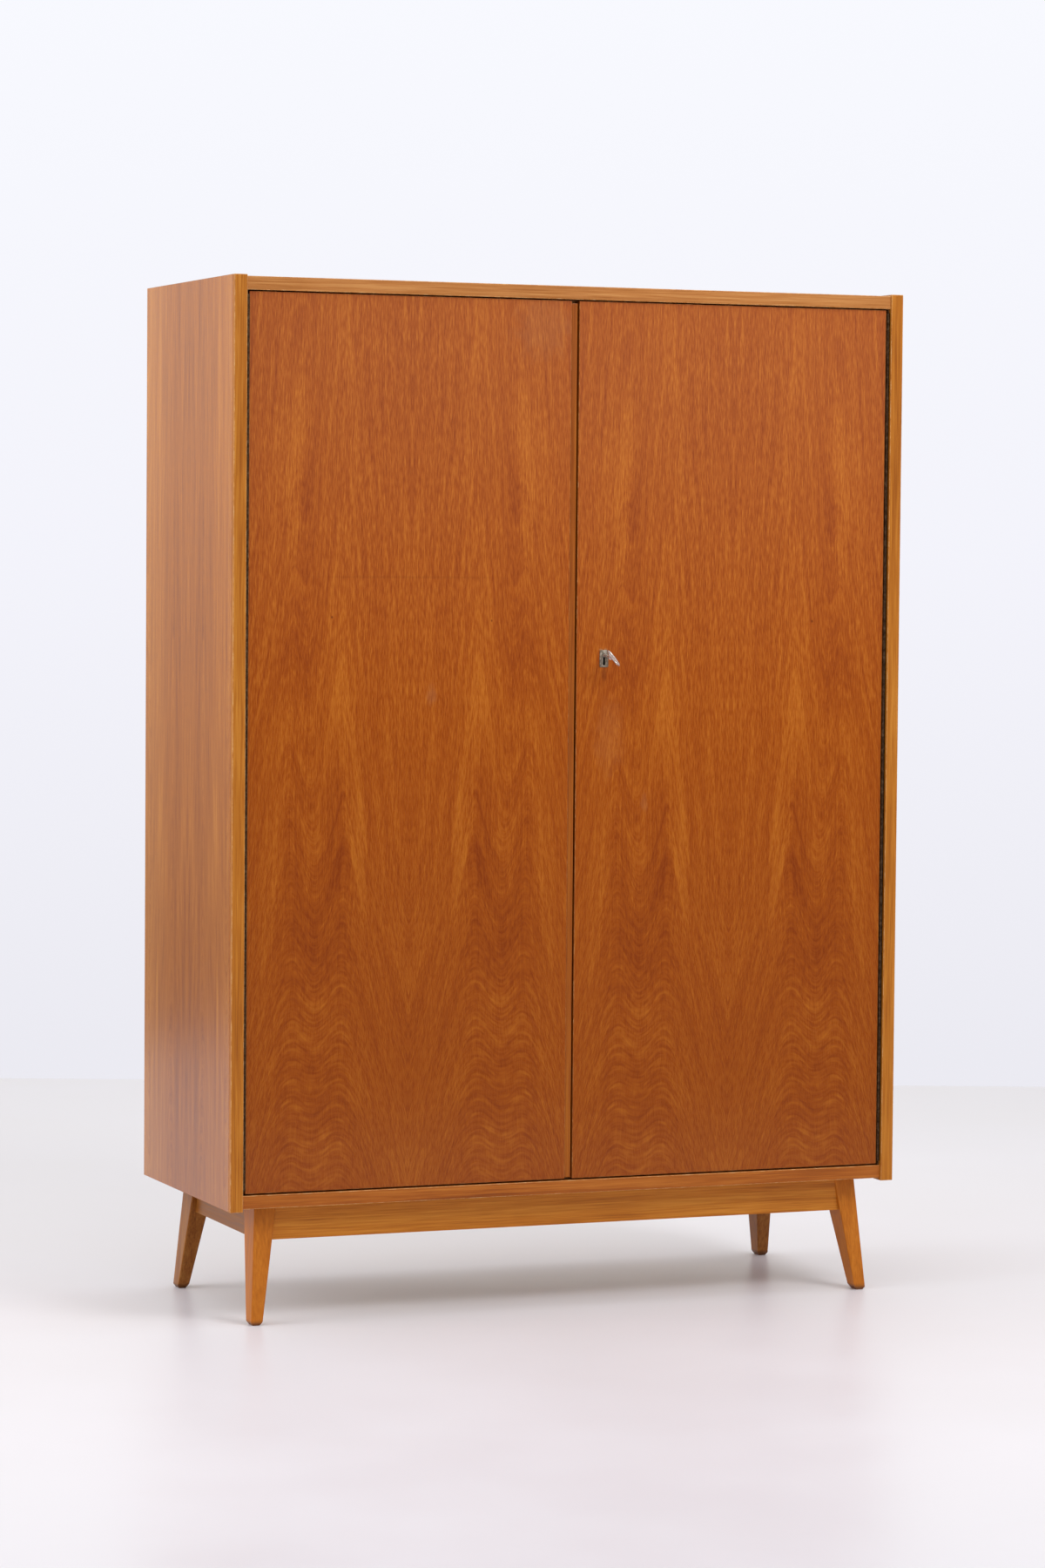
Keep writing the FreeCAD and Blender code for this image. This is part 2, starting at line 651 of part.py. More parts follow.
def slide_bolts():
    # Both slide bolts; the plates' screws become a node, and the keepers' screws are returned.
    keepers = []
    plate_group = []
    keeper_group = []
    ends = (
        ("top", door_high, 1, "top_board", top_low),
        ("bottom", door_low, -1, "bottom_board", bottom_high),
    )
    for level, end, up, board, face_z in ends:
        keeper, plate_name, plate_end = slide_bolt(level, end, up, board)
        across = slide_plate_width / 2 - screw_head_radius - slide_plate_gap
        inner_screw = slide_plate_length - slide_screw_inset
        heights = (plate_end - up * slide_plate_length / 2, plate_end - up * inner_screw)
        head_y = door_back + slide_plate_thickness
        places = [FreeCAD.Vector(slide_x + sign * across, head_y, z) for sign in (-1, 1) for z in heights]
        plate_group += screws(places, -along_y, (plate_name, "door_left_panel"))
        pieces["keeper"] = keeper
        reach = keeper_width / 2 - keeper_screw_inset
        places = [FreeCAD.Vector(slide_x + sign * reach, slide_y, face_z) for sign in (-1, 1)]
        keeper_group += screws(places, along_z * up, ("keeper", board))
        keepers.append(pieces.pop("keeper"))
    pieces["bolt_keepers"] = Part.makeCompound(keepers)
    pieces["bolt_plate_screws"] = Part.makeCompound(plate_group)
    return keeper_group


def leg_corners(sign, back):
    # Outer x, inner x, outer y and inner y of a leg, at the floor and at its top.
    levels = []
    for width, depth, side_inset, front_inset in (
        (leg_foot_width, leg_foot_depth, leg_foot_side_inset, leg_foot_front_inset),
        (leg_top_width, leg_top_depth, leg_top_side_inset, leg_top_front_inset),
    ):
        outer_x = sign * (half_width - side_inset)
        inner_leg_x = outer_x - sign * width
        outer_y = case_back - leg_back_shift - front_inset if back else case_front + front_inset
        inner_y = outer_y - depth if back else outer_y + depth
        levels.append((outer_x, inner_leg_x, outer_y, inner_y))
    return levels


def at_height(foot, top, height):
    return foot + (top - foot) * height / bottom_low


def tapered(low_corners, high_corners, height):
    # A solid with flat faces, from a rectangle on the floor to one at the height.
    rings = []
    for corners, level in ((low_corners, 0), (high_corners, height)):
        left, right = sorted(corners[:2])
        near, far = sorted(corners[2:])
        plan = ((left, near), (right, near), (right, far), (left, far))
        rings.append([FreeCAD.Vector(x, y, level) for x, y in plan])
    floor, top = rings
    outlines = [floor[::-1], top]
    for index in range(4):
        following = (index + 1) % 4
        outlines.append([floor[index], floor[following], top[following], top[index]])
    faces = [Part.Face(Part.makePolygon(outline + outline[:1])) for outline in outlines]
    return Part.Solid(Part.Shell(faces))


def widened(corners, margin):
    outer_x, inner_leg_x, outer_y, inner_y = corners
    step_x = margin if outer_x > inner_leg_x else -margin
    step_y = margin if outer_y > inner_y else -margin
    return outer_x + step_x, inner_leg_x - step_x, outer_y + step_y, inner_y - step_y


def rounded_leg(leg, foot_corners):
    # Rounds the upright edges and takes the arrises off the foot.
    upright = [edge for edge in leg.Edges if edge.BoundBox.ZLength > bottom_low / 2]
    leg = leg.makeFillet(leg_edge_round, upright)
    spread_out = bottom_low * foot_chamfer_inset / foot_chamfer_height
    low = widened(foot_corners, -foot_chamfer_inset)
    return leg.common(tapered(low, widened(low, spread_out), bottom_low))


def base():
    places = {
        (side, level): leg_corners(sign, level == "back")
        for side, sign in sides.items()
        for level in ("front", "back")
    }
    legs = {place: tapered(foot, top, bottom_low) for place, (foot, top) in places.items()}
    for (side, level), leg in legs.items():
        pieces["leg_%s_%s" % (level, side)] = rounded_leg(leg, places[side, level][0])
    rail_low = side_low - base_rail_drop
    rail_span = (rail_low, bottom_low)
    middle = (rail_low + bottom_low) / 2
    heights = (middle - base_dowel_spacing / 2, middle + base_dowel_spacing / 2)
    group = []
    for level, inward in (("front", 1), ("back", -1)):
        face = places["left", level][1][2] + inward * front_rail_reveal
        thickness = (face, face + inward * base_rail_thickness)
        ends = [(places[side, level][0][0] + places[side, level][1][1]) / 2 for side in sides]
        name = "base_rail_" + level
        pieces[name] = block(ends, thickness, rail_span).cut([legs[side, level] for side in sides])
        for side, sign in sides.items():
            foot, top = places[side, level]
            joints = [FreeCAD.Vector(at_height(foot[1], top[1], z), sum(thickness) / 2, z) for z in heights]
            group += dowels(joints, along_x * -sign, ("leg_%s_%s" % (level, side), name))
    for side, sign in sides.items():
        face = places[side, "front"][1][0] - sign * side_rail_reveal
        thickness = (face, face - sign * base_rail_thickness)
        ends = [(places[side, level][0][2] + places[side, level][1][3]) / 2 for level in ("front", "back")]
        name = "base_rail_" + side
        end_legs = [legs[side, level] for level in ("front", "back")]
        pieces[name] = block(thickness, ends, rail_span).cut(end_legs)
        for level, inward in (("front", 1), ("back", -1)):
            foot, top = places[side, level]
            joints = [FreeCAD.Vector(sum(thickness) / 2, at_height(foot[3], top[3], z), z) for z in heights]
            group += dowels(joints, along_y * inward, ("leg_%s_%s" % (level, side), name))
    pieces["base_dowels"] = Part.makeCompound(group)


def base_blocks():
    # Glue blocks in the angle between the rails and the bottom board, each with two screws.
    blocks = []
    group = []
    low = bottom_low - base_block_size
    half = base_block_length / 2
    seats = []
    for level, inward in (("front", 1), ("back", -1)):
        bounds = pieces["base_rail_" + level].BoundBox
        face = bounds.YMax if inward > 0 else bounds.YMin
        for place_x in (-base_block_offset, base_block_offset):
            seats.append(("base_rail_" + level, place_x, face, along_y * inward))
    for side, sign in sides.items():
        bounds = pieces["base_rail_" + side].BoundBox
        face = bounds.XMax if sign < 0 else bounds.XMin
        seats.append(("base_rail_" + side, face, (bounds.YMin + bounds.YMax) / 2, along_x * -sign))
    for rail, x, y, inward in seats:
        foot = FreeCAD.Vector(x, y, low)
        run = FreeCAD.Vector(abs(inward.y), abs(inward.x), 0)
        near = foot - run * half
        far = foot + run * half + inward * base_block_size
        pieces["block"] = block((near.x, far.x), (near.y, far.y), (low, bottom_low))
        up_place = foot + inward * (base_block_size / 2) + run * (base_screw_spacing / 2)
        group += screws([up_place], along_z, ("block", "bottom_board"), base_screw_length)
        level_place = foot + inward * base_block_size - run * (base_screw_spacing / 2)
        level_place += along_z * (base_block_size / 2)
        group += screws([level_place], -inward, ("block", rail), base_screw_length)
        blocks.append(pieces.pop("block"))
    pieces["base_blocks"] = Part.makeCompound(blocks)
    pieces["base_screws"] = Part.makeCompound(group)


case_boards()
doors()
case_dowels()
back_screws()
stop_pads()
shelves()
fitting_group = clothes_rail()
hinges()
key_plate()
lock()
fitting_group += strike_plate()
key()
fitting_group += slide_bolts()
pieces["fitting_screws"] = Part.makeCompound(fitting_group)
base()
base_blocks()

for node, shape in pieces.items():
    shape.exportStep("parts/%s.step" % node)
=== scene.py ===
import bpy
import math
from mathutils import Matrix, Vector


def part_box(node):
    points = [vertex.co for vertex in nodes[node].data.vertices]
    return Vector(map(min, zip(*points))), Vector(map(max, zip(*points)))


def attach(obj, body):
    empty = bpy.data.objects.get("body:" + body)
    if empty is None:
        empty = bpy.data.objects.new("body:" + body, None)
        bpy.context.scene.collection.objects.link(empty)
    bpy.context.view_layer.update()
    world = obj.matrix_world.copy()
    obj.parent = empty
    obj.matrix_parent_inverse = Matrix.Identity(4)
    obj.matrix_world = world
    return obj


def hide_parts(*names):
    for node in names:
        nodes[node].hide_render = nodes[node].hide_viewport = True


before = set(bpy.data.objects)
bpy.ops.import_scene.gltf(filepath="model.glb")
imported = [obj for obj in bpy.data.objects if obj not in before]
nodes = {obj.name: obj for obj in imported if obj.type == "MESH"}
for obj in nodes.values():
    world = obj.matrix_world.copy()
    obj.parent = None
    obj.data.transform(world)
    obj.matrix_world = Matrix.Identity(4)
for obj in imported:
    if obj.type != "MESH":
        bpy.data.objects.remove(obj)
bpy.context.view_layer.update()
print("frame loaded,", len(nodes), "nodes")


# ways of writing a finish

class Finish:
    def __init__(self, name, world=None):
        self.material = world or bpy.data.materials.new(name)
        self.material.use_nodes = True
        self.tree = self.material.node_tree
        self.shader = self.tree.nodes.get("Principled BSDF")
        place = self.tree.nodes.new("ShaderNodeTexCoord")
        split = self.tree.nodes.new("ShaderNodeSeparateXYZ")
        # in the world, Generated is the direction that is looked in
        self.tree.links.new(place.outputs["Generated" if world else "Object"], split.inputs[0])
        self.x, self.y, self.z = split.outputs

    def feed(self, socket, value):
        if isinstance(value, bpy.types.NodeSocket):
            self.tree.links.new(value, socket)
        else:
            socket.default_value = value

    def calc(self, operation, *values):
        node = self.tree.nodes.new("ShaderNodeMath")
        node.operation = operation
        for socket, value in zip(node.inputs, values):
            self.feed(socket, value)
        return node.outputs[0]

    def plus(self, first, second):
        return self.calc("ADD", first, second)

    def minus(self, first, second):
        return self.calc("SUBTRACT", first, second)

    def times(self, first, second):
        return self.calc("MULTIPLY", first, second)

    def over(self, first, second):
        return self.calc("DIVIDE", first, second)

    def line(self, value, slope, base=0.0):
        return self.calc("MULTIPLY_ADD", value, slope, base)

    def vary(self, base, texture, share):
        # a noise swings about a half, and a share of its swing is added to the base
        return self.line(self.minus(texture, 0.5), share, base)

    def vector(self, x, y, z):
        node = self.tree.nodes.new("ShaderNodeCombineXYZ")
        for socket, value in zip(node.inputs, (x, y, z)):
            self.feed(socket, value)
        return node.outputs[0]

    def noise(self, x, y, z, detail=2.0, roughness=0.5):
        # a place can be written with its rate in cells per metre, and with a shift after that
        places = [self.line(*place) if isinstance(place, tuple) else place for place in (x, y, z)]
        node = self.tree.nodes.new("ShaderNodeTexNoise")
        self.feed(node.inputs["Vector"], self.vector(*places))
        node.inputs["Scale"].default_value = 1.0
        node.inputs["Detail"].default_value = detail
        node.inputs["Roughness"].default_value = roughness
        return node.outputs[0]

    def speckle(self, rate, detail, roughness, shift=0.0):
        # the same every way
        places = [(place, rate, shift) for place in (self.x, self.y, self.z)]
        return self.noise(*places, detail, roughness)

    def span(self, value, low, high, toLow=0.0, toHigh=1.0, smooth=True):
        node = self.tree.nodes.new("ShaderNodeMapRange")
        node.interpolation_type = "SMOOTHSTEP" if smooth else "LINEAR"
        for socket, number in zip(node.inputs, (value, low, high, toLow, toHigh)):
            self.feed(socket, number)
        return node.outputs[0]

    def ramp(self, value, stops, colours):
        node = self.tree.nodes.new("ShaderNodeValToRGB")
        while len(node.color_ramp.elements) < len(stops):
            node.color_ramp.elements.new(1.0)
        for element, position, colour in zip(node.color_ramp.elements, stops, colours):
            element.position = position
            element.color = (*colour, 1.0)
        self.feed(node.inputs[0], value)
        return node.outputs[0]

    def mix(self, share, first, second, way="MIX"):
        node = self.tree.nodes.new("ShaderNodeMix")
        node.data_type = "RGBA"
        node.blend_type = way
        sockets = (node.inputs[0], node.inputs[6], node.inputs[7])  # the factor and the two colours
        for socket, value in zip(sockets, (share, first, second)):
            self.feed(socket, (*value, 1.0) if isinstance(value, tuple) else value)
        return node.outputs[2]

    def shaded(self, colour, share):
        return self.mix(1.0, colour, self.vector(share, share, share), "MULTIPLY")

    def spot(self, centre, reach, rag):
        # a soft oval patch with a ragged edge, on a face that looks to the front
        sideways = self.over(self.minus(self.x, centre[0]), reach[0])
        upward = self.over(self.minus(self.z, centre[1]), reach[1])
        far = self.calc("SQRT", self.plus(self.calc("POWER", sideways, 2.0), self.calc("POWER", upward, 2.0)))
        return self.span(self.vary(far, rag, 1.2), 1.0, 0.35)

    def relief(self, height, strength, distance):
        node = self.tree.nodes.new("ShaderNodeBump")
        node.inputs["Strength"].default_value = strength
        node.inputs["Distance"].default_value = distance
        self.feed(node.inputs["Height"], height)
        self.feed(self.shader.inputs["Normal"], node.outputs[0])

    def done(self, colour, roughness, specular=0.5, metallic=0.0):
        self.feed(self.shader.inputs["Base Color"], colour)
        self.feed(self.shader.inputs["Roughness"], roughness)
        self.shader.inputs["Specular IOR Level"].default_value = specular
        self.shader.inputs["Metallic"].default_value = metallic
        return self.material


# flamed oak veneer: two leaves opened like a book, flames in the lower half and straight grain above

flames = {
    "strayRates": (9.0, 2.2), "stray": 0.024,  # cells per metre across and along, and how far fibres stray
    "rippleRates": (30.0, 7.0), "ripple": (0.006, 0.012),  # in the straight grain, and added in the flames
    "scallopRates": (85.0, 18.0), "scallop": (0.005, 0.008),
    "heights": (0.12, 0.62, 1.0, 0.0),  # between these the flames give way to straight grain
    "secondRise": (0.45, 1.35, 0.002, 0.060),  # the second column fades out upwards
    "archJoin": 0.07, "steepness": 1.7, "calmWaves": 0.08, "fibreLean": 0.08,
}


def flameRings(finish, across, along, seed, leaf):
    # the growth rings as the slicing knife met them: nested arches round each column
    def waver(place, rates, shift, **looks):
        return finish.noise((place, rates[0]), (along, rates[1]), seed + shift, **looks)

    wander = finish.vary(across, waver(across, flames["strayRates"], 0.0), flames["stray"])
    low = finish.span(along, *flames["heights"])
    ripple = waver(across, flames["rippleRates"], 3.1, detail=1.0)
    scallop = waver(wander, flames["scallopRates"], 4.7, roughness=0.55)
    waves = 0.0
    for texture, (swing, more) in ((ripple, flames["ripple"]), (scallop, flames["scallop"])):
        waves = finish.vary(waves, texture, finish.line(low, more, swing))
    crown = finish.line(low, leaf["lowCrown"], leaf["crown"])
    crownSquare = finish.times(crown, crown)
    arches = []
    for column in leaf["columns"]:
        aside = finish.minus(wander, column)
        slope = finish.calc("SQRT", finish.line(aside, aside, crownSquare))
        arches.append(finish.minus(slope, crown))
    second = finish.plus(arches[1], finish.span(along, *flames["secondRise"]))
    ring = finish.calc("SMOOTH_MIN", arches[0], second, flames["archJoin"])
    climb = finish.times(along, finish.line(along, leaf["climb"][1], leaf["climb"][0]))
    even = finish.line(ring, flames["steepness"], climb)
    calm = finish.line(waves, flames["calmWaves"], even)
    return finish.plus(even, waves), calm, wander, low


grainLayers = {  # cells per metre over the rings or fibres, along the grain and across the leaf, then detail
    "bands": (78.0, 2.0, 6.0, 2.0),
    "lines": (520.0, 12.0, 26.0, 1.0),
    "streaks": (520.0, 6.0, 0.0, 2.0),
    "uprightPores": (860.0, 64.0, 0.0, 1.0),
    "leaningPores": (430.0, 74.0, 30.0, 1.0),
}
grainShares = {  # how much a layer counts, and what the flames add to that
    "bands": (0.54, -0.20), "lines": (0.34, 0.22), "streaks": (0.54, -0.30), "pores": -0.05,
}
poreLean = (0.40, 0.95, 0.55, 0.0)  # two heights, and how far the pores lean with the flames at each


def flamedOak(finish, across, along, seed, leaf):
    ring, calm, wander, low = flameRings(finish, across, along, seed, leaf)
    fibre = finish.line(ring, flames["fibreLean"], wander)  # the fibres follow the rings a little

    def layer(key, place, shift=0.0):
        overRate, alongRate, acrossRate, detail = grainLayers[key]
        aside = (across, acrossRate, seed + shift)
        return finish.noise((place, overRate), (along, alongRate), aside, detail, 0.6)

    upright = layer("uprightPores", fibre)
    leaning = finish.minus(layer("leaningPores", calm), upright)
    pores = finish.line(leaning, finish.span(along, *poreLean), upright)
    value = 0.5
    for key, texture in (("bands", layer("bands", ring)), ("lines", layer("lines", calm)),
                         ("streaks", layer("streaks", fibre, 2.0))):
        share, more = grainShares[key]
        value = finish.vary(value, texture, finish.line(low, more, share))
    poreShare = finish.line(low, grainShares["pores"], leaf["pores"])
    return finish.vary(value, pores, poreShare), pores, wander


veneerStops = (0.15, 0.5, 0.85)  # where the dark, the middle and the light tone lie


# door veneer

doorLeaf = {
    "tones": ((0.258, 0.042, 0.0014), (0.378, 0.079, 0.0032), (0.53, 0.153, 0.012)),
    "columns": (0.118, 0.205), "crown": 0.010, "lowCrown": 0.048, "climb": (0.33, -0.085), "pores": 0.98,
    "shade": 0.16, "darkeningAlong": (0.0, 1.25, 0.80, 1.0),  # darker towards the foot of the door: painted shade where less light falls
    # painted sheen: a pale grey tint over the top and the foot of the door stands in for reflected light
    "haze": (0.62, 0.46, 0.36), "topHaze": (0.70, 1.48, 0.0, 0.045), "footHaze": (0.20, 0.0, 0.0, 0.014),
    "gloss": (0.24, 0.33), "specular": 0.14, "relief": (0.08, 0.0006), "raggedness": 60.0,
}
leafShades = (  # across the leaf, up the door, half width, half length, slant, lighter or darker
    (0.205, 1.187, 0.015, 0.155, -0.06, 1.00),  # the long pale lens near the top
    (0.104, 0.702, 0.020, 0.280, 0.06, 0.55),  # the flame's inner leg
    (0.092, 0.537, 0.013, 0.110, 0.05, 0.50),
    (0.148, 0.677, 0.012, 0.160, -0.165, 0.55),  # its outer leg
    (0.118, 0.847, 0.016, 0.120, 0.00, 0.40),  # its tip
    (0.130, 0.597, 0.013, 0.150, 0.00, -0.55),  # the dark heart
    (0.140, 0.447, 0.045, 0.110, 0.00, -0.50),
    (0.218, 0.747, 0.015, 0.110, -0.09, 0.45),  # the second flame
    (0.200, 0.537, 0.016, 0.130, -0.03, -0.50),
    (0.190, 0.382, 0.045, 0.070, 0.00, -0.55),
    (0.240, 0.507, 0.016, 0.140, -0.06, 0.55),
    (0.178, 1.017, 0.026, 0.300, -0.03, -0.40),  # the dark streak between lens and flame
    (0.200, 0.877, 0.034, 0.090, -0.10, -0.40),
    (0.000, 0.020, 0.050, 0.060, 0.00, 0.50),  # the pale foot of the middle joint
    (0.186, 1.437, 0.010, 0.070, -0.05, 0.40),  # short pale streaks at the top
    (0.108, 1.377, 0.007, 0.080, 0.00, 0.35),
    (0.100, 1.190, 0.009, 0.140, 0.00, 0.30),
    (0.165, 0.157, 0.055, 0.050, 0.00, -0.35),  # a dark patch near the foot
)
shadeReach = 1.8  # the square of how far a shade fades out, in its half sizes
paleWear, brownStain, greyHaze = (0.62, 0.36, 0.17), (0.15, 0.026, 0.003), (0.42, 0.22, 0.10)
leftDoorMarks = (  # middle in X and Z, half sizes, colour, strength
    ((-0.253, 1.031), (0.012, 0.022), greyHaze, 0.14),
    ((-0.060, 1.640), (0.070, 0.070), greyHaze, 0.11),
    ((-0.290, 1.224), (0.260, 0.0030), brownStain, 0.15),  # a faint line across
    ((-0.428, 1.158), (0.0022, 0.0030), brownStain, 0.85),  # pin marks
    ((-0.148, 1.153), (0.0022, 0.0030), brownStain, 0.85),
)
rightDoorMarks = (
    ((0.064, 0.960), (0.034, 0.085), greyHaze, 0.07),
    ((0.0550, 1.064), (0.0070, 0.024), brownStain, 0.55),  # below the key plate
    ((0.0480, 1.1052), (0.0050, 0.0030), paleWear, 0.26),  # rubbed spots at its upper edge
    ((0.0565, 1.1060), (0.0046, 0.0026), paleWear, 0.22),
    ((0.130, 0.848), (0.008, 0.022), paleWear, 0.07),
    ((0.438, 1.153), (0.0022, 0.0030), brownStain, 0.85),
)


def leafShade(finish, across, along):
    total = 0.0
    for middle, height, halfWidth, halfLength, slant, strength in leafShades:
        rise = finish.minus(along, height)
        aside = finish.over(finish.line(rise, -slant, finish.minus(across, middle)), halfWidth)
        rise = finish.over(rise, halfLength)
        far = finish.line(aside, aside, finish.times(rise, rise))
        total = finish.plus(finish.span(far, shadeReach, 0.0, 0.0, strength), total)
    return total


def doorVeneer(name, panel, shift, seed, marks):
    low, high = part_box(panel)
    finish = Finish(name)
    along = finish.minus(finish.z, low.z - shift)
    across = finish.calc("ABSOLUTE", finish.minus(finish.x, (low.x + high.x) / 2))
    value, pores, wander = flamedOak(finish, across, along, seed, doorLeaf)
    value = finish.line(leafShade(finish, wander, along), doorLeaf["shade"], value)
    colour = finish.ramp(value, veneerStops, doorLeaf["tones"])
    # painted shade: the door's colour darkens towards its foot
    colour = finish.shaded(colour, finish.span(along, *doorLeaf["darkeningAlong"]))
    # the painted sheen, laid over the top and the foot of the door
    for reach in ("topHaze", "footHaze"):
        colour = finish.mix(finish.span(along, *doorLeaf[reach]), colour, doorLeaf["haze"])
    rate = doorLeaf["raggedness"]
    rag = finish.noise((finish.x, rate), (finish.z, rate), seed, 3.0, 0.6)
    for centre, reach, tint, strength in marks:
        patch = finish.spot(centre, reach, rag)
        colour = finish.mix(finish.times(patch, strength), colour, tint)
    finish.relief(pores, *doorLeaf["relief"])
    return finish.done(colour, finish.span(pores, 0.3, 0.7, *doorLeaf["gloss"]), doorLeaf["specular"])


leftDoorWood = doorVeneer("door veneer left", "door_left_panel", 0.0, 1.7, leftDoorMarks)
rightDoorWood = doorVeneer("door veneer right", "door_right_panel", 0.028, 1.72, rightDoorMarks)


# plainer veneer of the case

boardLeaf = {
    "columns": (0.082, 0.330), "crown": 0.012, "lowCrown": 0.020, "climb": (0.20, -0.035), "pores": 0.36,
    # the boards darken along the grain towards where the leaves begin
    "fade": (0.05, 0.24, -0.10, 0.10), "darkeningAlong": (0.10, 1.20, 0.84, 1.05),
    "strandRates": (85.0, 2.6), "strands": 0.85, "relief": (0.05, 0.0005),
    "sapwood": (0.70, 0.40, 0.17), "sapwoodReach": (0.08, 0.26, 0.0, 0.10),
}
outerTones = ((0.27, 0.060, 0.003), (0.420, 0.115, 0.006), (0.57, 0.195, 0.018))
innerTones = ((0.33, 0.145, 0.045), (0.47, 0.240, 0.095), (0.60, 0.345, 0.160))
boardFoot = {"z": 0.19, "x": -0.62}  # where upright and lying leaves begin


def boardVeneer(name, middle, grain, seed, tones, specular, gloss, sapwood=False):
    # middle is the joint of the two leaves in Y, and grain the axis that the leaves follow
    finish = Finish(name)
    across = finish.calc("ABSOLUTE", finish.minus(finish.y, middle))
    along = finish.minus({"x": finish.x, "z": finish.z}[grain], boardFoot[grain])
    value, pores, wander = flamedOak(finish, across, along, seed, boardLeaf)
    value = finish.plus(value, finish.span(across, *boardLeaf["fade"]))
    acrossRate, alongRate = boardLeaf["strandRates"]
    strands = finish.noise((wander, acrossRate), (along, alongRate), seed + 9.0, 3.0, 0.65)
    colour = finish.ramp(finish.vary(value, strands, boardLeaf["strands"]), veneerStops, tones)
    colour = finish.shaded(colour, finish.span(along, *boardLeaf["darkeningAlong"]))
    if sapwood:
        colour = finish.mix(finish.span(finish.y, *boardLeaf["sapwoodReach"]), colour, boardLeaf["sapwood"])
    finish.relief(pores, *boardLeaf["relief"])
    return finish.done(colour, finish.span(pores, 0.3, 0.7, *gloss), specular)


sideWood = boardVeneer("side veneer", 0.0214, "z", 6.3, outerTones, 0.45, (0.18, 0.26), sapwood=True)
topWood = boardVeneer("top veneer", 0.0214, "x", 11.9, outerTones, 0.25, (0.26, 0.36))
innerWood = boardVeneer("inside veneer", 0.034, "z", 21.4, innerTones, 0.3, (0.34, 0.46))
shelfWood = boardVeneer("shelf veneer", 0.046, "x", 27.8, innerTones, 0.3, (0.34, 0.46))


# solid oak: straight grain with short dark pores

solidGrain = {
    "alongRate": 3.0, "crossRate": 150.0, "cloudRate": 6.0,
    "streaks": 0.45, "flecks": 0.60, "clouds": 0.25, "pores": (0.60, 0.75, 0.0, 0.45),
    "stops": (0.47, 0.65, 0.86), "gloss": (0.30, 0.44), "specular": 0.22, "relief": (0.12, 0.0005),
}
solidLayers = {  # times the rates above, shift, detail, roughness
    "streaks": (0.55, 0.0, 3.0, 0.6), "flecks": (3.2, 4.0, 2.0, 0.6), "pores": (6.4, 8.0, 1.0, 0.5),
}
footShadeAndScuffs = {
    # the dark band at the foot is painted contact shade; the scuffs are wear
    "contactShade": (0.075, 0.030, 0.012), "contactShadeHeights": (0.016, 0.006), "contactShadeShare": 0.72, "ragged": 0.010,
    "scuff": (0.24, 0.055, 0.006), "scuffRate": 42.0, "scuffEdge": (0.60, 0.72), "scuffShare": 0.10,
}
oakTones = {  # dark, middle and light
    "lipping": ((0.300, 0.080, 0.004), (0.450, 0.146, 0.010), (0.590, 0.232, 0.026)),
    # the top lipping's tones are paler and greyer in part as painted sheen
    "topLipping": ((0.330, 0.108, 0.018), (0.470, 0.180, 0.042), (0.610, 0.285, 0.085)),
    "bottomLipping": ((0.240, 0.056, 0.005), (0.385, 0.102, 0.009), (0.510, 0.170, 0.022)),
    "strip": ((0.215, 0.044, 0.002), (0.318, 0.077, 0.003), (0.410, 0.124, 0.007)),
    # the rail and leg tones are made lighter to paint in the light thrown up from the floor; the shaded tones
    # are painted shade for the side rails and back legs
    "rail": ((0.350, 0.096, 0.005), (0.530, 0.172, 0.012), (0.660, 0.262, 0.030)),
    "leg": ((0.390, 0.108, 0.005), (0.500, 0.146, 0.008), (0.600, 0.205, 0.016)),
    "shaded": ((0.200, 0.058, 0.006), (0.310, 0.105, 0.014), (0.420, 0.175, 0.034)),
    "inner": ((0.36, 0.155, 0.045), (0.50, 0.250, 0.092), (0.62, 0.350, 0.155)),
    "plain": ((0.40, 0.22, 0.09), (0.52, 0.32, 0.15), (0.62, 0.42, 0.22)),
    "back": ((0.30, 0.175, 0.080), (0.40, 0.245, 0.120), (0.48, 0.310, 0.165)),
}


def shadedWornFoot(finish, colour, clouds):
    # painted contact shade on the lowest millimetres, and rubbed varnish above it
    contactShade = finish.span(finish.line(clouds, footShadeAndScuffs["ragged"], finish.z), *footShadeAndScuffs["contactShadeHeights"])
    colour = finish.mix(finish.times(contactShade, footShadeAndScuffs["contactShadeShare"]), colour, footShadeAndScuffs["contactShade"])
    scuffs = finish.span(finish.speckle(footShadeAndScuffs["scuffRate"], 3.0, 0.6), *footShadeAndScuffs["scuffEdge"])
    return finish.mix(finish.times(scuffs, footShadeAndScuffs["scuffShare"]), colour, footShadeAndScuffs["scuff"])


def solidOak(name, grain, tonesName, seed, foot=False):
    finish = Finish(name)
    tones = oakTones[tonesName]
    axes = {"x": finish.x, "y": finish.y, "z": finish.z}

    def layer(key):
        factor, shift, detail, roughness = solidLayers[key]
        rates = [solidGrain["alongRate" if axis == grain else "crossRate"] for axis in axes]
        places = [(place, rate * factor, seed + shift) for place, rate in zip(axes.values(), rates)]
        return finish.noise(*places, detail, roughness)

    streaks, flecks, pores = layer("streaks"), layer("flecks"), layer("pores")
    clouds = finish.speckle(solidGrain["cloudRate"], 2.0, 0.5, seed)
    value = finish.line(streaks, solidGrain["streaks"], finish.times(flecks, solidGrain["flecks"]))
    value = finish.line(clouds, solidGrain["clouds"], value)
    colour = finish.ramp(value, solidGrain["stops"], tones)
    poreShare = finish.span(pores, *solidGrain["pores"])
    colour = finish.mix(poreShare, colour, tones[0])
    if foot:
        colour = shadedWornFoot(finish, colour, clouds)
    finish.relief(finish.minus(flecks, poreShare), *solidGrain["relief"])
    return finish.done(colour, finish.span(flecks, 0.3, 0.7, *solidGrain["gloss"]), solidGrain["specular"])


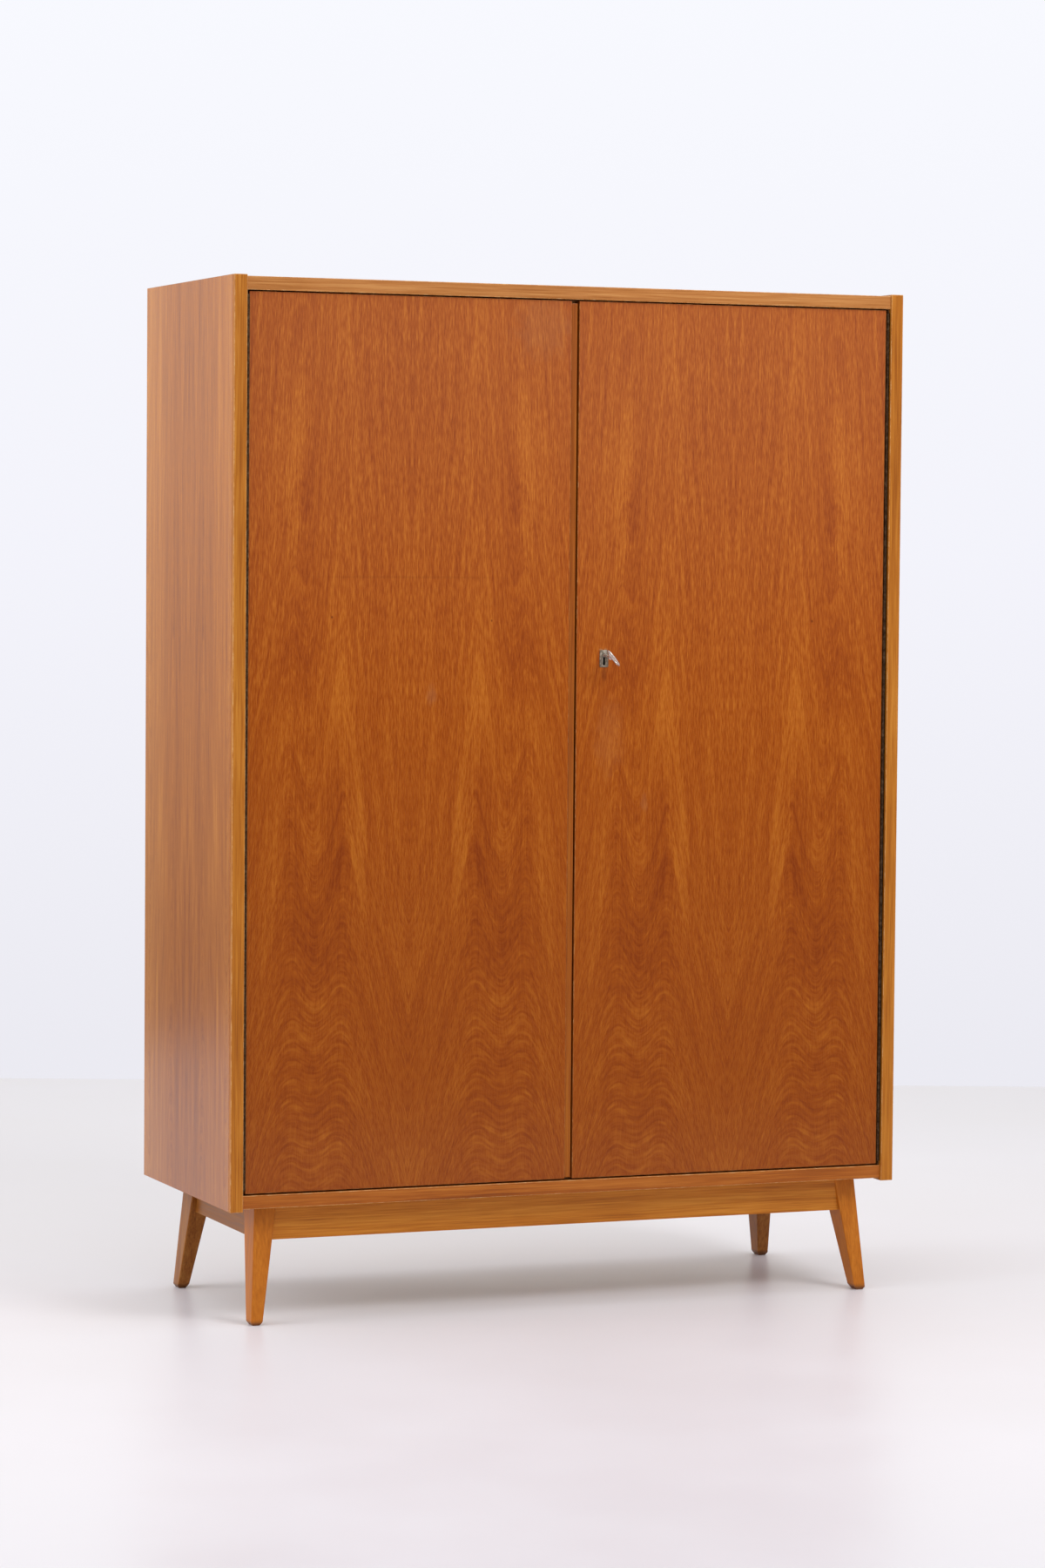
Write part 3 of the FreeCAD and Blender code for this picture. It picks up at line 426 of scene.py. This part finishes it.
uprightOak = solidOak("upright oak lipping", "z", "lipping", 3.0)
topOak = solidOak("top oak lipping", "x", "topLipping", 5.0)
bottomOak = solidOak("bottom oak lipping", "x", "bottomLipping", 6.0)
# lightened and shaded copies of the oak: painted light on the front and back rails and front legs, painted
# shade on the side rails and back legs
shadedSideRailOak = solidOak("side rail oak", "y", "shaded", 7.0)
lightenedRailOak = solidOak("front rail oak", "x", "rail", 8.0)
lightenedLegOak = solidOak("leg oak", "z", "leg", 9.0, foot=True)
shadedBackLegOak = solidOak("back leg oak", "z", "shaded", 10.0, foot=True)
partitionEdgeOak = solidOak("partition edge oak", "z", "inner", 11.0)
shelfEdgeOak = solidOak("shelf edge oak", "x", "inner", 12.0)
stripOak = solidOak("meeting strip oak", "z", "strip", 13.0)
plainWood = solidOak("plain beech", "x", "plain", 15.0)
backWood = solidOak("back board", "z", "back", 17.0)


# worn edges, painted keyhole shade, metal and felt

wearAndShadeTones = {
    "oak": ((0.40, 0.130, 0.020), (0.56, 0.240, 0.060), (0.70, 0.42, 0.18)),
    "veneer": ((0.25, 0.060, 0.006), (0.36, 0.105, 0.016), (0.54, 0.260, 0.090)),
    # the keyhole tones are painted shade for the hole's inner walls
    "keyhole": ((0.010, 0.005, 0.002), (0.018, 0.009, 0.004), (0.035, 0.018, 0.008)),
}
metalTones = {
    "hinge": ((0.032, 0.017, 0.008), (0.070, 0.040, 0.021), (0.150, 0.098, 0.060)),
    "fitting": ((0.36, 0.34, 0.31), (0.50, 0.48, 0.45), (0.62, 0.60, 0.57)),
    "screw": ((0.22, 0.19, 0.15), (0.36, 0.32, 0.26), (0.50, 0.46, 0.39)),
    "key": ((0.40, 0.33, 0.28), (0.64, 0.57, 0.52), (0.82, 0.77, 0.73)),
    "plate": ((0.105, 0.078, 0.050), (0.215, 0.170, 0.120), (0.46, 0.405, 0.33)),
}
wear = {"rate": 95.0, "stops": (0.34, 0.50, 0.68), "gloss": (0.35, 0.55), "specular": 0.35}
tarnish = {"stops": (0.34, 0.52, 0.70), "finer": 9.0, "relief": (0.05, 0.0003)}
feltHair = {
    "rate": 2600.0, "stops": (0.3, 0.7), "tones": ((0.030, 0.018, 0.010), (0.090, 0.060, 0.036)),
    "gloss": (0.85, 1.0), "relief": (0.5, 0.0005),
}


def edgeWearAndHoleShade(name, tonesName):
    # cloudy patches, as on rubbed or dirty wood; in the keyhole the patches are near black, as painted shade
    finish = Finish(name)
    rub = finish.speckle(wear["rate"], 4.0, 0.65)
    colour = finish.ramp(rub, wear["stops"], wearAndShadeTones[tonesName])
    return finish.done(colour, finish.span(rub, 0.3, 0.7, *wear["gloss"]), wear["specular"])


def metal(name, tonesName, gloss, rate, metallic=1.0):
    finish = Finish(name)
    cloud = finish.speckle(rate, 4.0, 0.65)
    fine = finish.speckle(rate * tarnish["finer"], 2.0, 0.6)
    colour = finish.ramp(cloud, tarnish["stops"], metalTones[tonesName])
    finish.relief(fine, *tarnish["relief"])
    return finish.done(colour, finish.span(fine, 0.25, 0.75, *gloss), metallic=metallic)


def felt(name):
    finish = Finish(name)
    hair = finish.speckle(feltHair["rate"], 3.0, 0.7)
    colour = finish.ramp(hair, feltHair["stops"], feltHair["tones"])
    finish.relief(hair, *feltHair["relief"])
    return finish.done(colour, finish.span(hair, 0.2, 0.8, *feltHair["gloss"]))


rubbedOak = edgeWearAndHoleShade("rubbed oak arris", "oak")
rubbedVeneer = edgeWearAndHoleShade("rubbed veneer edge", "veneer")
keyholeShade = edgeWearAndHoleShade("keyhole painted shade", "keyhole")
# the hinge steel is made very dark to paint in the shade of the gap it sits in
darkenedHingeSteel = metal("darkened hinge steel", "hinge", (0.42, 0.64), 160.0)
fittingSteel = metal("satin fitting steel", "fitting", (0.26, 0.42), 90.0)
screwSteel = metal("screw steel", "screw", (0.34, 0.52), 300.0)
keyNickel = metal("worn key nickel", "key", (0.20, 0.36), 220.0, 0.8)
plateBrass = metal("tarnished plate brass", "plate", (0.34, 0.55), 150.0, 0.55)
darkFelt = felt("dark felt")
print("finishes written")


# ways of making a piece

squareOn = 0.99  # cosine of how far a face may turn and still look that way


def clearSelection():
    bpy.ops.object.select_all(action="DESELECT")


def pick(piece):
    clearSelection()
    piece.select_set(True)
    bpy.context.view_layer.objects.active = piece


def settle(piece, name):
    # place, turn and size go into the mesh
    piece.name = name
    piece.data.name = name
    pick(piece)
    bpy.ops.object.transform_apply(location=True, rotation=True, scale=True)
    return piece


def block(name, low, high):
    low, high = Vector(low), Vector(high)
    clearSelection()
    bpy.ops.mesh.primitive_cube_add(size=1.0, location=(low + high) / 2)
    bpy.context.object.scale = high - low
    return settle(bpy.context.object, name)


def cutOut(piece, *cutters):
    for cutter in cutters:
        pick(piece)
        cut = piece.modifiers.new("cut", "BOOLEAN")
        cut.operation = "DIFFERENCE"
        cut.solver = "EXACT"
        cut.object = cutter
        bpy.ops.object.modifier_apply(modifier=cut.name)
        bpy.data.objects.remove(cutter)


def oneFinish(piece, finish):
    piece.data.materials.clear()
    piece.data.materials.append(finish)
    for face in piece.data.polygons:
        face.material_index = 0


def faceFinish(piece, finish, wanted):
    # the wanted faces get a finish of their own
    piece.data.materials.append(finish)
    for face in piece.data.polygons:
        if wanted(face):
            face.material_index = len(piece.data.materials) - 1


def looking(*ways):
    return lambda face: max(face.normal.dot(Vector(way)) for way in ways) > squareOn


def softBoard(name, low, high, arris, faceWood, edgeWood, steps=2):
    # a board with its arrises taken off
    board = block(name, low, high)
    board.data.materials.append(faceWood)
    board.data.materials.append(edgeWood)
    bpy.ops.object.mode_set(mode="EDIT")
    bpy.ops.mesh.select_all(action="SELECT")
    bpy.ops.mesh.bevel(offset=arris, segments=steps, profile=0.5, affect="EDGES", material=1)
    bpy.ops.object.mode_set(mode="OBJECT")
    return board


def asNode(name, node, body, arris, faceWood, edgeWood, steps=2):
    low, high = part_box(node)
    board = softBoard(name, low, high, arris, faceWood, edgeWood, steps)
    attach(board, body)
    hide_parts(node)
    return board


# boards of the case

caseBoards = {  # node, slot, arris, wood of the faces and of the arrises
    "sidePanelLeft": ("side_panel_left", "side_veneer", 0.0005, sideWood, rubbedVeneer),
    "sidePanelRight": ("side_panel_right", "side_veneer", 0.0005, sideWood, rubbedVeneer),
    "topBoard": ("top_board", "side_veneer", 0.0005, topWood, rubbedVeneer),
    "bottomBoard": ("bottom_board", "inside_veneer", 0.0005, shelfWood, rubbedVeneer),
    "sideLippingLeft": ("side_lipping_left", "solid_oak", 0.0009, uprightOak, rubbedOak),
    "sideLippingRight": ("side_lipping_right", "solid_oak", 0.0009, uprightOak, rubbedOak),
    "topLipping": ("top_lipping", "solid_oak", 0.0009, topOak, rubbedOak),
    "bottomLipping": ("bottom_lipping", "solid_oak", 0.0009, bottomOak, rubbedOak),
    "partition": ("partition", "inside_veneer", 0.0006, innerWood, rubbedVeneer),
    "hatShelf": ("hat_shelf", "inside_veneer", 0.0010, shelfWood, rubbedVeneer),
    "linenShelfLowest": ("linen_shelf_1", "inside_veneer", 0.0010, shelfWood, rubbedVeneer),
    "linenShelfLow": ("linen_shelf_2", "inside_veneer", 0.0010, shelfWood, rubbedVeneer),
    "linenShelfHigh": ("linen_shelf_3", "inside_veneer", 0.0010, shelfWood, rubbedVeneer),
    "linenShelfHighest": ("linen_shelf_4", "inside_veneer", 0.0010, shelfWood, rubbedVeneer),
}
boards = {}
for boardName, (node, slotName, arris, faceWood, edgeWood) in caseBoards.items():
    boards[boardName] = asNode(boardName, node, "carcass", arris, faceWood, edgeWood)

joinery = {
    "past": 0.02,  # how far a cutter stands out of the wood
    "backFit": 0.0005, "boltFit": 0.0003, "strikeDepth": 0.007, "boreRadius": 0.0046, "boreDepth": 0.015,
}


def cutRebates():
    # the back panel lies in a rebate of each side
    low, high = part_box("back_panel")
    past, reach = joinery["past"], high.x + joinery["backFit"]
    for boardName, left in (("sidePanelLeft", -reach), ("sidePanelRight", reach - past)):
        rebate = block("rebate", (left, low.y, low.z - past), (left + past, high.y + past, high.z + past))
        cutOut(boards[boardName], rebate)


def cutStrike():
    # the strike plate is let into the partition, and the lock bolt goes in behind it
    past, fit = joinery["past"], joinery["boltFit"]
    low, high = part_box("strike_plate")
    recess = block("recess", (low.x, low.y - past, low.z), (high.x + past, high.y, high.z))
    boltLow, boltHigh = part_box("lock_bolt")
    mortise = block("mortise", (high.x - joinery["strikeDepth"], boltLow.y - fit, boltLow.z - fit),
                    (high.x + past, boltHigh.y + fit, boltHigh.z + fit))
    cutOut(boards["partition"], recess, mortise)


def cutKeepers():
    # a keeper plate and a bore for each slide bolt, in the top board and in the bottom board
    low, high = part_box("bolt_keepers")
    middle, past = (low + high) / 2, joinery["past"]
    topFace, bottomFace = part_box("top_board")[0].z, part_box("bottom_board")[1].z
    for boardName, face, outside, bed in (("topBoard", topFace, topFace - past, high.z),
                                          ("bottomBoard", bottomFace, bottomFace + past, low.z)):
        recess = block("recess", (low.x, low.y, min(outside, bed)), (high.x, high.y, max(outside, bed)))
        clearSelection()
        bpy.ops.mesh.primitive_cylinder_add(vertices=32, radius=joinery["boreRadius"],
                                            depth=2 * joinery["boreDepth"],
                                            location=(middle.x, middle.y, face))
        cutOut(boards[boardName], recess, settle(bpy.context.object, "bore"))


cutRebates()
cutStrike()
cutKeepers()
for boardName, inward in (("sidePanelLeft", 1), ("sidePanelRight", -1)):
    faceFinish(boards[boardName], innerWood, looking((inward, 0, 0)))
    faceFinish(boards[boardName], uprightOak, looking((0, 1, 0)))
faceFinish(boards["topBoard"], shelfWood, looking((0, 0, -1)))
faceFinish(boards["partition"], partitionEdgeOak, looking((0, -1, 0)))
for boardName in ("hatShelf", "linenShelfLowest", "linenShelfLow", "linenShelfHigh", "linenShelfHighest"):
    faceFinish(boards[boardName], shelfEdgeOak, looking((0, -1, 0)))
print("case boards made and cut")


# doors

doorSizes = {"arris": 0.0008, "stripArris": 0.0010, "stripSteps": 3}
leftDoor = asNode("doorLeft", "door_left_panel", "door_left", doorSizes["arris"],
                  leftDoorWood, rubbedVeneer)
rightDoor = asNode("doorRight", "door_right_panel", "door_right", doorSizes["arris"],
                   rightDoorWood, rubbedVeneer)
for door in (leftDoor, rightDoor):
    faceFinish(door, stripOak, looking((1, 0, 0), (-1, 0, 0)))
    faceFinish(door, bottomOak, looking((0, 0, 1), (0, 0, -1)))
asNode("meetingStrip", "meeting_strip", "door_left", doorSizes["stripArris"],
       stripOak, stripOak, doorSizes["stripSteps"])
print("doors made")


# key, key plate and keyhole

keySizes = {
    "axis": Vector((0.0539, 0.0, 1.095)), "turn": math.radians(40.0),
    "droop": math.radians(6.0), "mouth": Vector((0.0, -0.2168, 0.0)),
    "bowMiddle": -0.24935, "bowHalfLength": 0.0158, "bowHalfWidth": 0.0068, "bowWire": 0.0027,
    # steps of the turned stems: place in Y and radius
    "neck": ((-0.2424, 0.0016), (-0.2412, 0.0024), (-0.2400, 0.0027), (-0.23985, 0.0034), (-0.2394, 0.0038),
             (-0.2374, 0.0038), (-0.23685, 0.0034), (-0.2366, 0.0027), (-0.2169, 0.0027), (-0.2160, 0.0022)),
    "shank": ((-0.2175, 0.0022), (-0.2168, 0.0027), (-0.1760, 0.0027), (-0.17435, 0.0022)),
    "bit": ((-0.0012, -0.1851, -0.013), (0.0012, -0.1782, 0.0)), "bitArris": 0.0003,
    "smooth": math.radians(40),
}
quarterTurn = math.radians(90)


def turnedStem(steps):
    # rings drawn out one after another along Y, about the world's Y axis
    clearSelection()
    bpy.ops.mesh.primitive_circle_add(vertices=40, radius=steps[0][1], fill_type="NGON",
                                      location=(0, steps[0][0], 0), rotation=(quarterTurn, 0, 0))
    stem = settle(bpy.context.object, "stem")
    bpy.ops.object.mode_set(mode="EDIT")
    bpy.ops.mesh.select_all(action="SELECT")
    for (before, thin), (after, thick) in zip(steps, steps[1:]):
        bpy.ops.mesh.extrude_region_move(TRANSFORM_OT_translate={"value": (0, after - before, 0)})
        bpy.ops.transform.resize(value=(thick / thin, 1, thick / thin), center_override=(0, after, 0))
    bpy.ops.mesh.select_all(action="SELECT")
    bpy.ops.mesh.normals_make_consistent(inside=False)
    bpy.ops.object.mode_set(mode="OBJECT")
    return stem


def wireBow():
    clearSelection()
    bpy.ops.curve.primitive_bezier_circle_add(radius=1.0, location=(0, keySizes["bowMiddle"], 0),
                                              rotation=(0, quarterTurn, 0))
    bow = bpy.context.object
    bow.scale = (keySizes["bowHalfLength"], keySizes["bowHalfWidth"], 1.0)
    bpy.ops.object.transform_apply(location=False, rotation=False, scale=True)
    bow.data.resolution_u = 20
    bow.data.bevel_depth = keySizes["bowWire"]
    bow.data.bevel_resolution = 5
    bpy.ops.object.convert(target="MESH")
    return settle(bpy.context.object, "bow")


def makeKey():
    bow = wireBow()
    neck = turnedStem(keySizes["neck"])
    shank = turnedStem(keySizes["shank"])
    bit = softBoard("bit", *keySizes["bit"], keySizes["bitArris"], keyNickel, keyNickel)
    for part in (bow, neck, shank, bit):
        part.rotation_euler = (0, -keySizes["turn"], 0)
        settle(part, part.name)
    for part in (bow, neck):  # outside the door the key hangs down a little
        part.location = -keySizes["mouth"]
        settle(part, part.name)
        part.location = keySizes["mouth"]
        part.rotation_euler = (keySizes["droop"], 0, 0)
        settle(part, part.name)
    clearSelection()
    for part in (bow, neck, shank, bit):
        part.select_set(True)
    bpy.context.view_layer.objects.active = bow
    bpy.ops.object.join()
    bow.location = keySizes["axis"]
    settle(bow, "key_worn")
    bpy.ops.object.shade_smooth_by_angle(angle=keySizes["smooth"])
    oneFinish(bow, keyNickel)
    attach(bow, "key")
    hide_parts("key")


keyholeSizes = {
    "radius": 0.0033, "slotHalf": 0.0018, "slotDepth": 0.016, "slotArris": 0.0002,
    "doorPast": 0.004, "doorMargin": 0.0006, "keyholeShadeReach": 0.02,  # in the door it is wider, and painted dark inside as shade
    "platePast": 0.002,
}


def keyholeCutter(node, past, margin):
    # goes right through the node
    axis, front, back = keySizes["axis"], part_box(node)[0].y - past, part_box(node)[1].y + past
    radius, half = keyholeSizes["radius"] + margin, keyholeSizes["slotHalf"] + margin
    middle = (axis.x, (front + back) / 2, axis.z)
    clearSelection()
    bpy.ops.mesh.primitive_cylinder_add(vertices=48, radius=radius, depth=back - front, location=middle,
                                        rotation=(quarterTurn, 0, 0))
    hole = settle(bpy.context.object, "hole")
    low = (axis.x - half, front, axis.z - keyholeSizes["slotDepth"] - margin)
    high = (axis.x + half, back, axis.z)
    return hole, softBoard("slot", low, high, keyholeSizes["slotArris"], keyNickel, keyNickel, 1)


def cutKeyhole():
    def inKeyhole(face):
        far = (Vector((face.center.x, 0, face.center.z)) - keySizes["axis"]).length
        return far < keyholeSizes["keyholeShadeReach"] and abs(face.normal.y) < 0.5

    cutters = keyholeCutter("door_right_panel", keyholeSizes["doorPast"], keyholeSizes["doorMargin"])
    cutOut(rightDoor, *cutters)
    # the keyhole's inner walls get a near-black finish: painted shade
    faceFinish(rightDoor, keyholeShade, inKeyhole)


plateSizes = {"corner": 0.0025, "rim": 0.00045, "smooth": math.radians(35)}


def pickEdges(piece, wanted):
    bpy.ops.object.mode_set(mode="EDIT")
    bpy.ops.mesh.select_mode(type="EDGE")
    bpy.ops.mesh.select_all(action="DESELECT")
    bpy.ops.object.mode_set(mode="OBJECT")
    for edge in piece.data.edges:
        edge.select = wanted(*(piece.data.vertices[index].co for index in edge.vertices))
    bpy.ops.object.mode_set(mode="EDIT")


def makeKeyPlate():
    low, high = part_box("key_plate")
    plate = block("keyPlate", low, high)
    pickEdges(plate, lambda first, last: abs(first.y - last.y) > 0.001)  # the four corners
    bpy.ops.mesh.bevel(offset=plateSizes["corner"], segments=6, profile=0.5, affect="EDGES")
    pickEdges(plate, lambda first, last: max(first.y, last.y) < low.y + 0.0001)  # the front's rim
    bpy.ops.mesh.bevel(offset=plateSizes["rim"], segments=3, profile=0.5, affect="EDGES")
    bpy.ops.object.mode_set(mode="OBJECT")
    cutOut(plate, *keyholeCutter("key_plate", keyholeSizes["platePast"], 0.0))
    pick(plate)
    bpy.ops.object.shade_smooth_by_angle(angle=plateSizes["smooth"])
    oneFinish(plate, plateBrass)
    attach(plate, "door_right")
    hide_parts("key_plate")


makeKey()
cutKeyhole()
makeKeyPlate()
print("key, plate and keyhole made")


# nodes that keep their own shape

nodeFinishes = (
    (backWood, ("back_panel",)),
    (plainWood, ("case_dowels", "base_dowels", "base_blocks")),
    (lightenedRailOak, ("base_rail_front", "base_rail_back")),
    (shadedSideRailOak, ("base_rail_left", "base_rail_right")),
    (lightenedLegOak, ("leg_front_left", "leg_front_right")),
    (shadedBackLegOak, ("leg_back_left", "leg_back_right")),
    (darkenedHingeSteel, ("hinge_frame_leaf_left", "hinge_frame_leaf_right", "hinge_door_leaf_left",
                  "hinge_door_leaf_right", "hinge_pin_left", "hinge_pin_right")),
    (fittingSteel, ("lock_case", "lock_bolt", "strike_plate", "bolt_keepers", "bolt_plate_top",
                    "bolt_plate_bottom", "slide_bolt_top", "slide_bolt_bottom", "rail_socket_left",
                    "rail_socket_right", "clothes_rail", "shelf_pins")),
    (screwSteel, ("back_panel_screws", "fitting_screws", "base_screws", "hinge_frame_screws",
                  "hinge_door_screws_left", "hinge_door_screws_right", "bolt_plate_screws", "lock_screws")),
    (plateBrass, ("key_plate_pins",)),
    (darkFelt, ("door_stop_pads",)),
)
for finish, nodeNames in nodeFinishes:
    for nodeName in nodeNames:
        for place in nodes[nodeName].material_slots:
            place.material = finish
print("node finishes set")


# floor, light and camera

cameraSizes = {
    "place": (-2.87266, -7.09711, 1.27208), "yaw": 21.98928, "pitch": -3.00557, "roll": 0.47053,
    "focalPixels": 5142.75, "imageHeight": 1800.0, "sensor": 36.0, "sees": 100.0,
}
floorSizes = {
    "reach": 10.64, "front": 10.0, "width": 44.0,
    "cloudRate": 1.3, "stops": (0.3, 0.7), "tones": ((0.780, 0.757, 0.792), (0.818, 0.798, 0.830)),
    "gloss": (0.30, 0.40), "specular": 0.15,
}
studio = {  # heights between which a wall changes, where its tones lie, and the tones
    "wall": ((-0.11, 0.13), (0.0, 0.45, 1.0),
             ((0.835, 0.830, 0.890), (0.900, 0.900, 0.965), (0.940, 0.950, 1.0))),
    "rear": ((-0.12, 0.12), (0.05, 0.45, 0.85),
             ((0.22, 0.215, 0.19), (0.62, 0.60, 0.53), (0.97, 0.94, 0.86))),
    "front": ((-0.12, 0.20), (0.25, 0.42, 0.85),
              ((0.05, 0.05, 0.05), (0.12, 0.12, 0.12), (0.90, 0.90, 0.92))),
    "facing": (-0.75, -0.05, 1.0, 0.0),  # here the front of the room gives way to its rear
    "rearFill": (0.95, 0.96, 1.0), "frontFill": (0.60, 0.60, 0.62), "fill": 0.95,
}
lamps = {  # place, aim, size, watts, spread, and whether polish mirrors it
    "overheadSoftbox": ((-0.6, -1.8, 4.8), (-0.6, -1.7, 0.0), 8.0, 58.0, 180.0, True),
    "frontSoftbox": ((1.5, -2.9, 3.7), (0.1, -0.2, 1.4), 1.8, 23.0, 100.0, True),
    "leftSoftbox": ((-3.6, 0.2, 2.2), (-0.6, 0.0, 1.0), 2.2, 34.0, 180.0, False),
}


def paleFloor():
    # the floor ends square to the camera, where the wall begins
    yaw = math.radians(cameraSizes["yaw"])
    ahead = Vector((math.sin(yaw), math.cos(yaw), 0))
    stand = Vector((cameraSizes["place"][0], cameraSizes["place"][1], 0))
    middle = stand + ahead * (floorSizes["reach"] - floorSizes["front"]) / 2
    clearSelection()
    bpy.ops.mesh.primitive_plane_add(size=1.0, location=middle, rotation=(0, 0, -yaw))
    floor = bpy.context.object
    floor.scale = (floorSizes["width"], floorSizes["reach"] + floorSizes["front"], 1)
    settle(floor, "floor")
    finish = Finish("pale floor")
    rate = floorSizes["cloudRate"]
    cloud = finish.noise((finish.x, rate), (finish.y, rate), 0.0, 4.0, 0.6)
    colour = finish.ramp(cloud, floorSizes["stops"], floorSizes["tones"])
    roughness = finish.span(cloud, *floorSizes["stops"], *floorSizes["gloss"])
    floor.data.materials.append(finish.done(colour, roughness, floorSizes["specular"]))


def studioWorld():
    world = bpy.data.worlds.new("studio")
    bpy.context.scene.world = world
    room = Finish("studio", world)
    worldNodes = room.tree.nodes
    rays = worldNodes.new("ShaderNodeLightPath").outputs
    facing = room.span(room.y, *studio["facing"])

    def walls(key):
        heights, stops, tones = studio[key]
        return room.ramp(room.span(room.z, *heights, smooth=False), stops, tones)

    mirrored = room.mix(facing, walls("rear"), walls("front"))
    fill = worldNodes["Background"]
    room.feed(fill.inputs[0], room.mix(facing, studio["rearFill"], studio["frontFill"]))
    fill.inputs[1].default_value = studio["fill"]
    plain = worldNodes.new("ShaderNodeBackground")
    room.feed(plain.inputs[0], room.mix(rays["Is Glossy Ray"], walls("wall"), mirrored))
    plain.inputs[1].default_value = 1.0
    seen = room.calc("MAXIMUM", rays["Is Glossy Ray"], rays["Is Transmission Ray"])
    seen = room.calc("MAXIMUM", rays["Is Camera Ray"], seen)
    choose = worldNodes.new("ShaderNodeMixShader")
    for socket, value in zip(choose.inputs, (seen, fill.outputs[0], plain.outputs[0])):
        room.feed(socket, value)
    room.feed(worldNodes["World Output"].inputs[0], choose.outputs[0])


def studioLamps():
    for name, (place, aim, size, watts, spread, mirrored) in lamps.items():
        lamp = bpy.data.lights.new(name, "AREA")
        lamp.size = size
        lamp.spread = math.radians(spread)
        lamp.energy = watts
        holder = bpy.data.objects.new(name, lamp)
        bpy.context.scene.collection.objects.link(holder)
        holder.location = place
        holder.rotation_euler = (Vector(aim) - Vector(place)).to_track_quat("-Z", "Y").to_euler()
        holder.visible_glossy = mirrored  # the left one would lie on the polished top as a white sheet


def photoCamera():
    lens = bpy.data.cameras.new("photoCamera")
    camera = bpy.data.objects.new("photoCamera", lens)
    bpy.context.scene.collection.objects.link(camera)
    lens.sensor_width = cameraSizes["sensor"]
    lens.lens = cameraSizes["focalPixels"] / cameraSizes["imageHeight"] * cameraSizes["sensor"]
    lens.clip_end = cameraSizes["sees"]
    yaw, pitch, roll = (math.radians(cameraSizes[key]) for key in ("yaw", "pitch", "roll"))
    tilt = Matrix.Rotation(quarterTurn + pitch, 4, "X") @ Matrix.Rotation(roll, 4, "Z")
    camera.matrix_world = Matrix.Translation(cameraSizes["place"]) @ Matrix.Rotation(-yaw, 4, "Z") @ tilt
    bpy.context.scene.camera = camera


paleFloor()
studioWorld()
studioLamps()
photoCamera()
bpy.context.scene.view_settings.view_transform = "Standard"
print("floor, light and camera set")
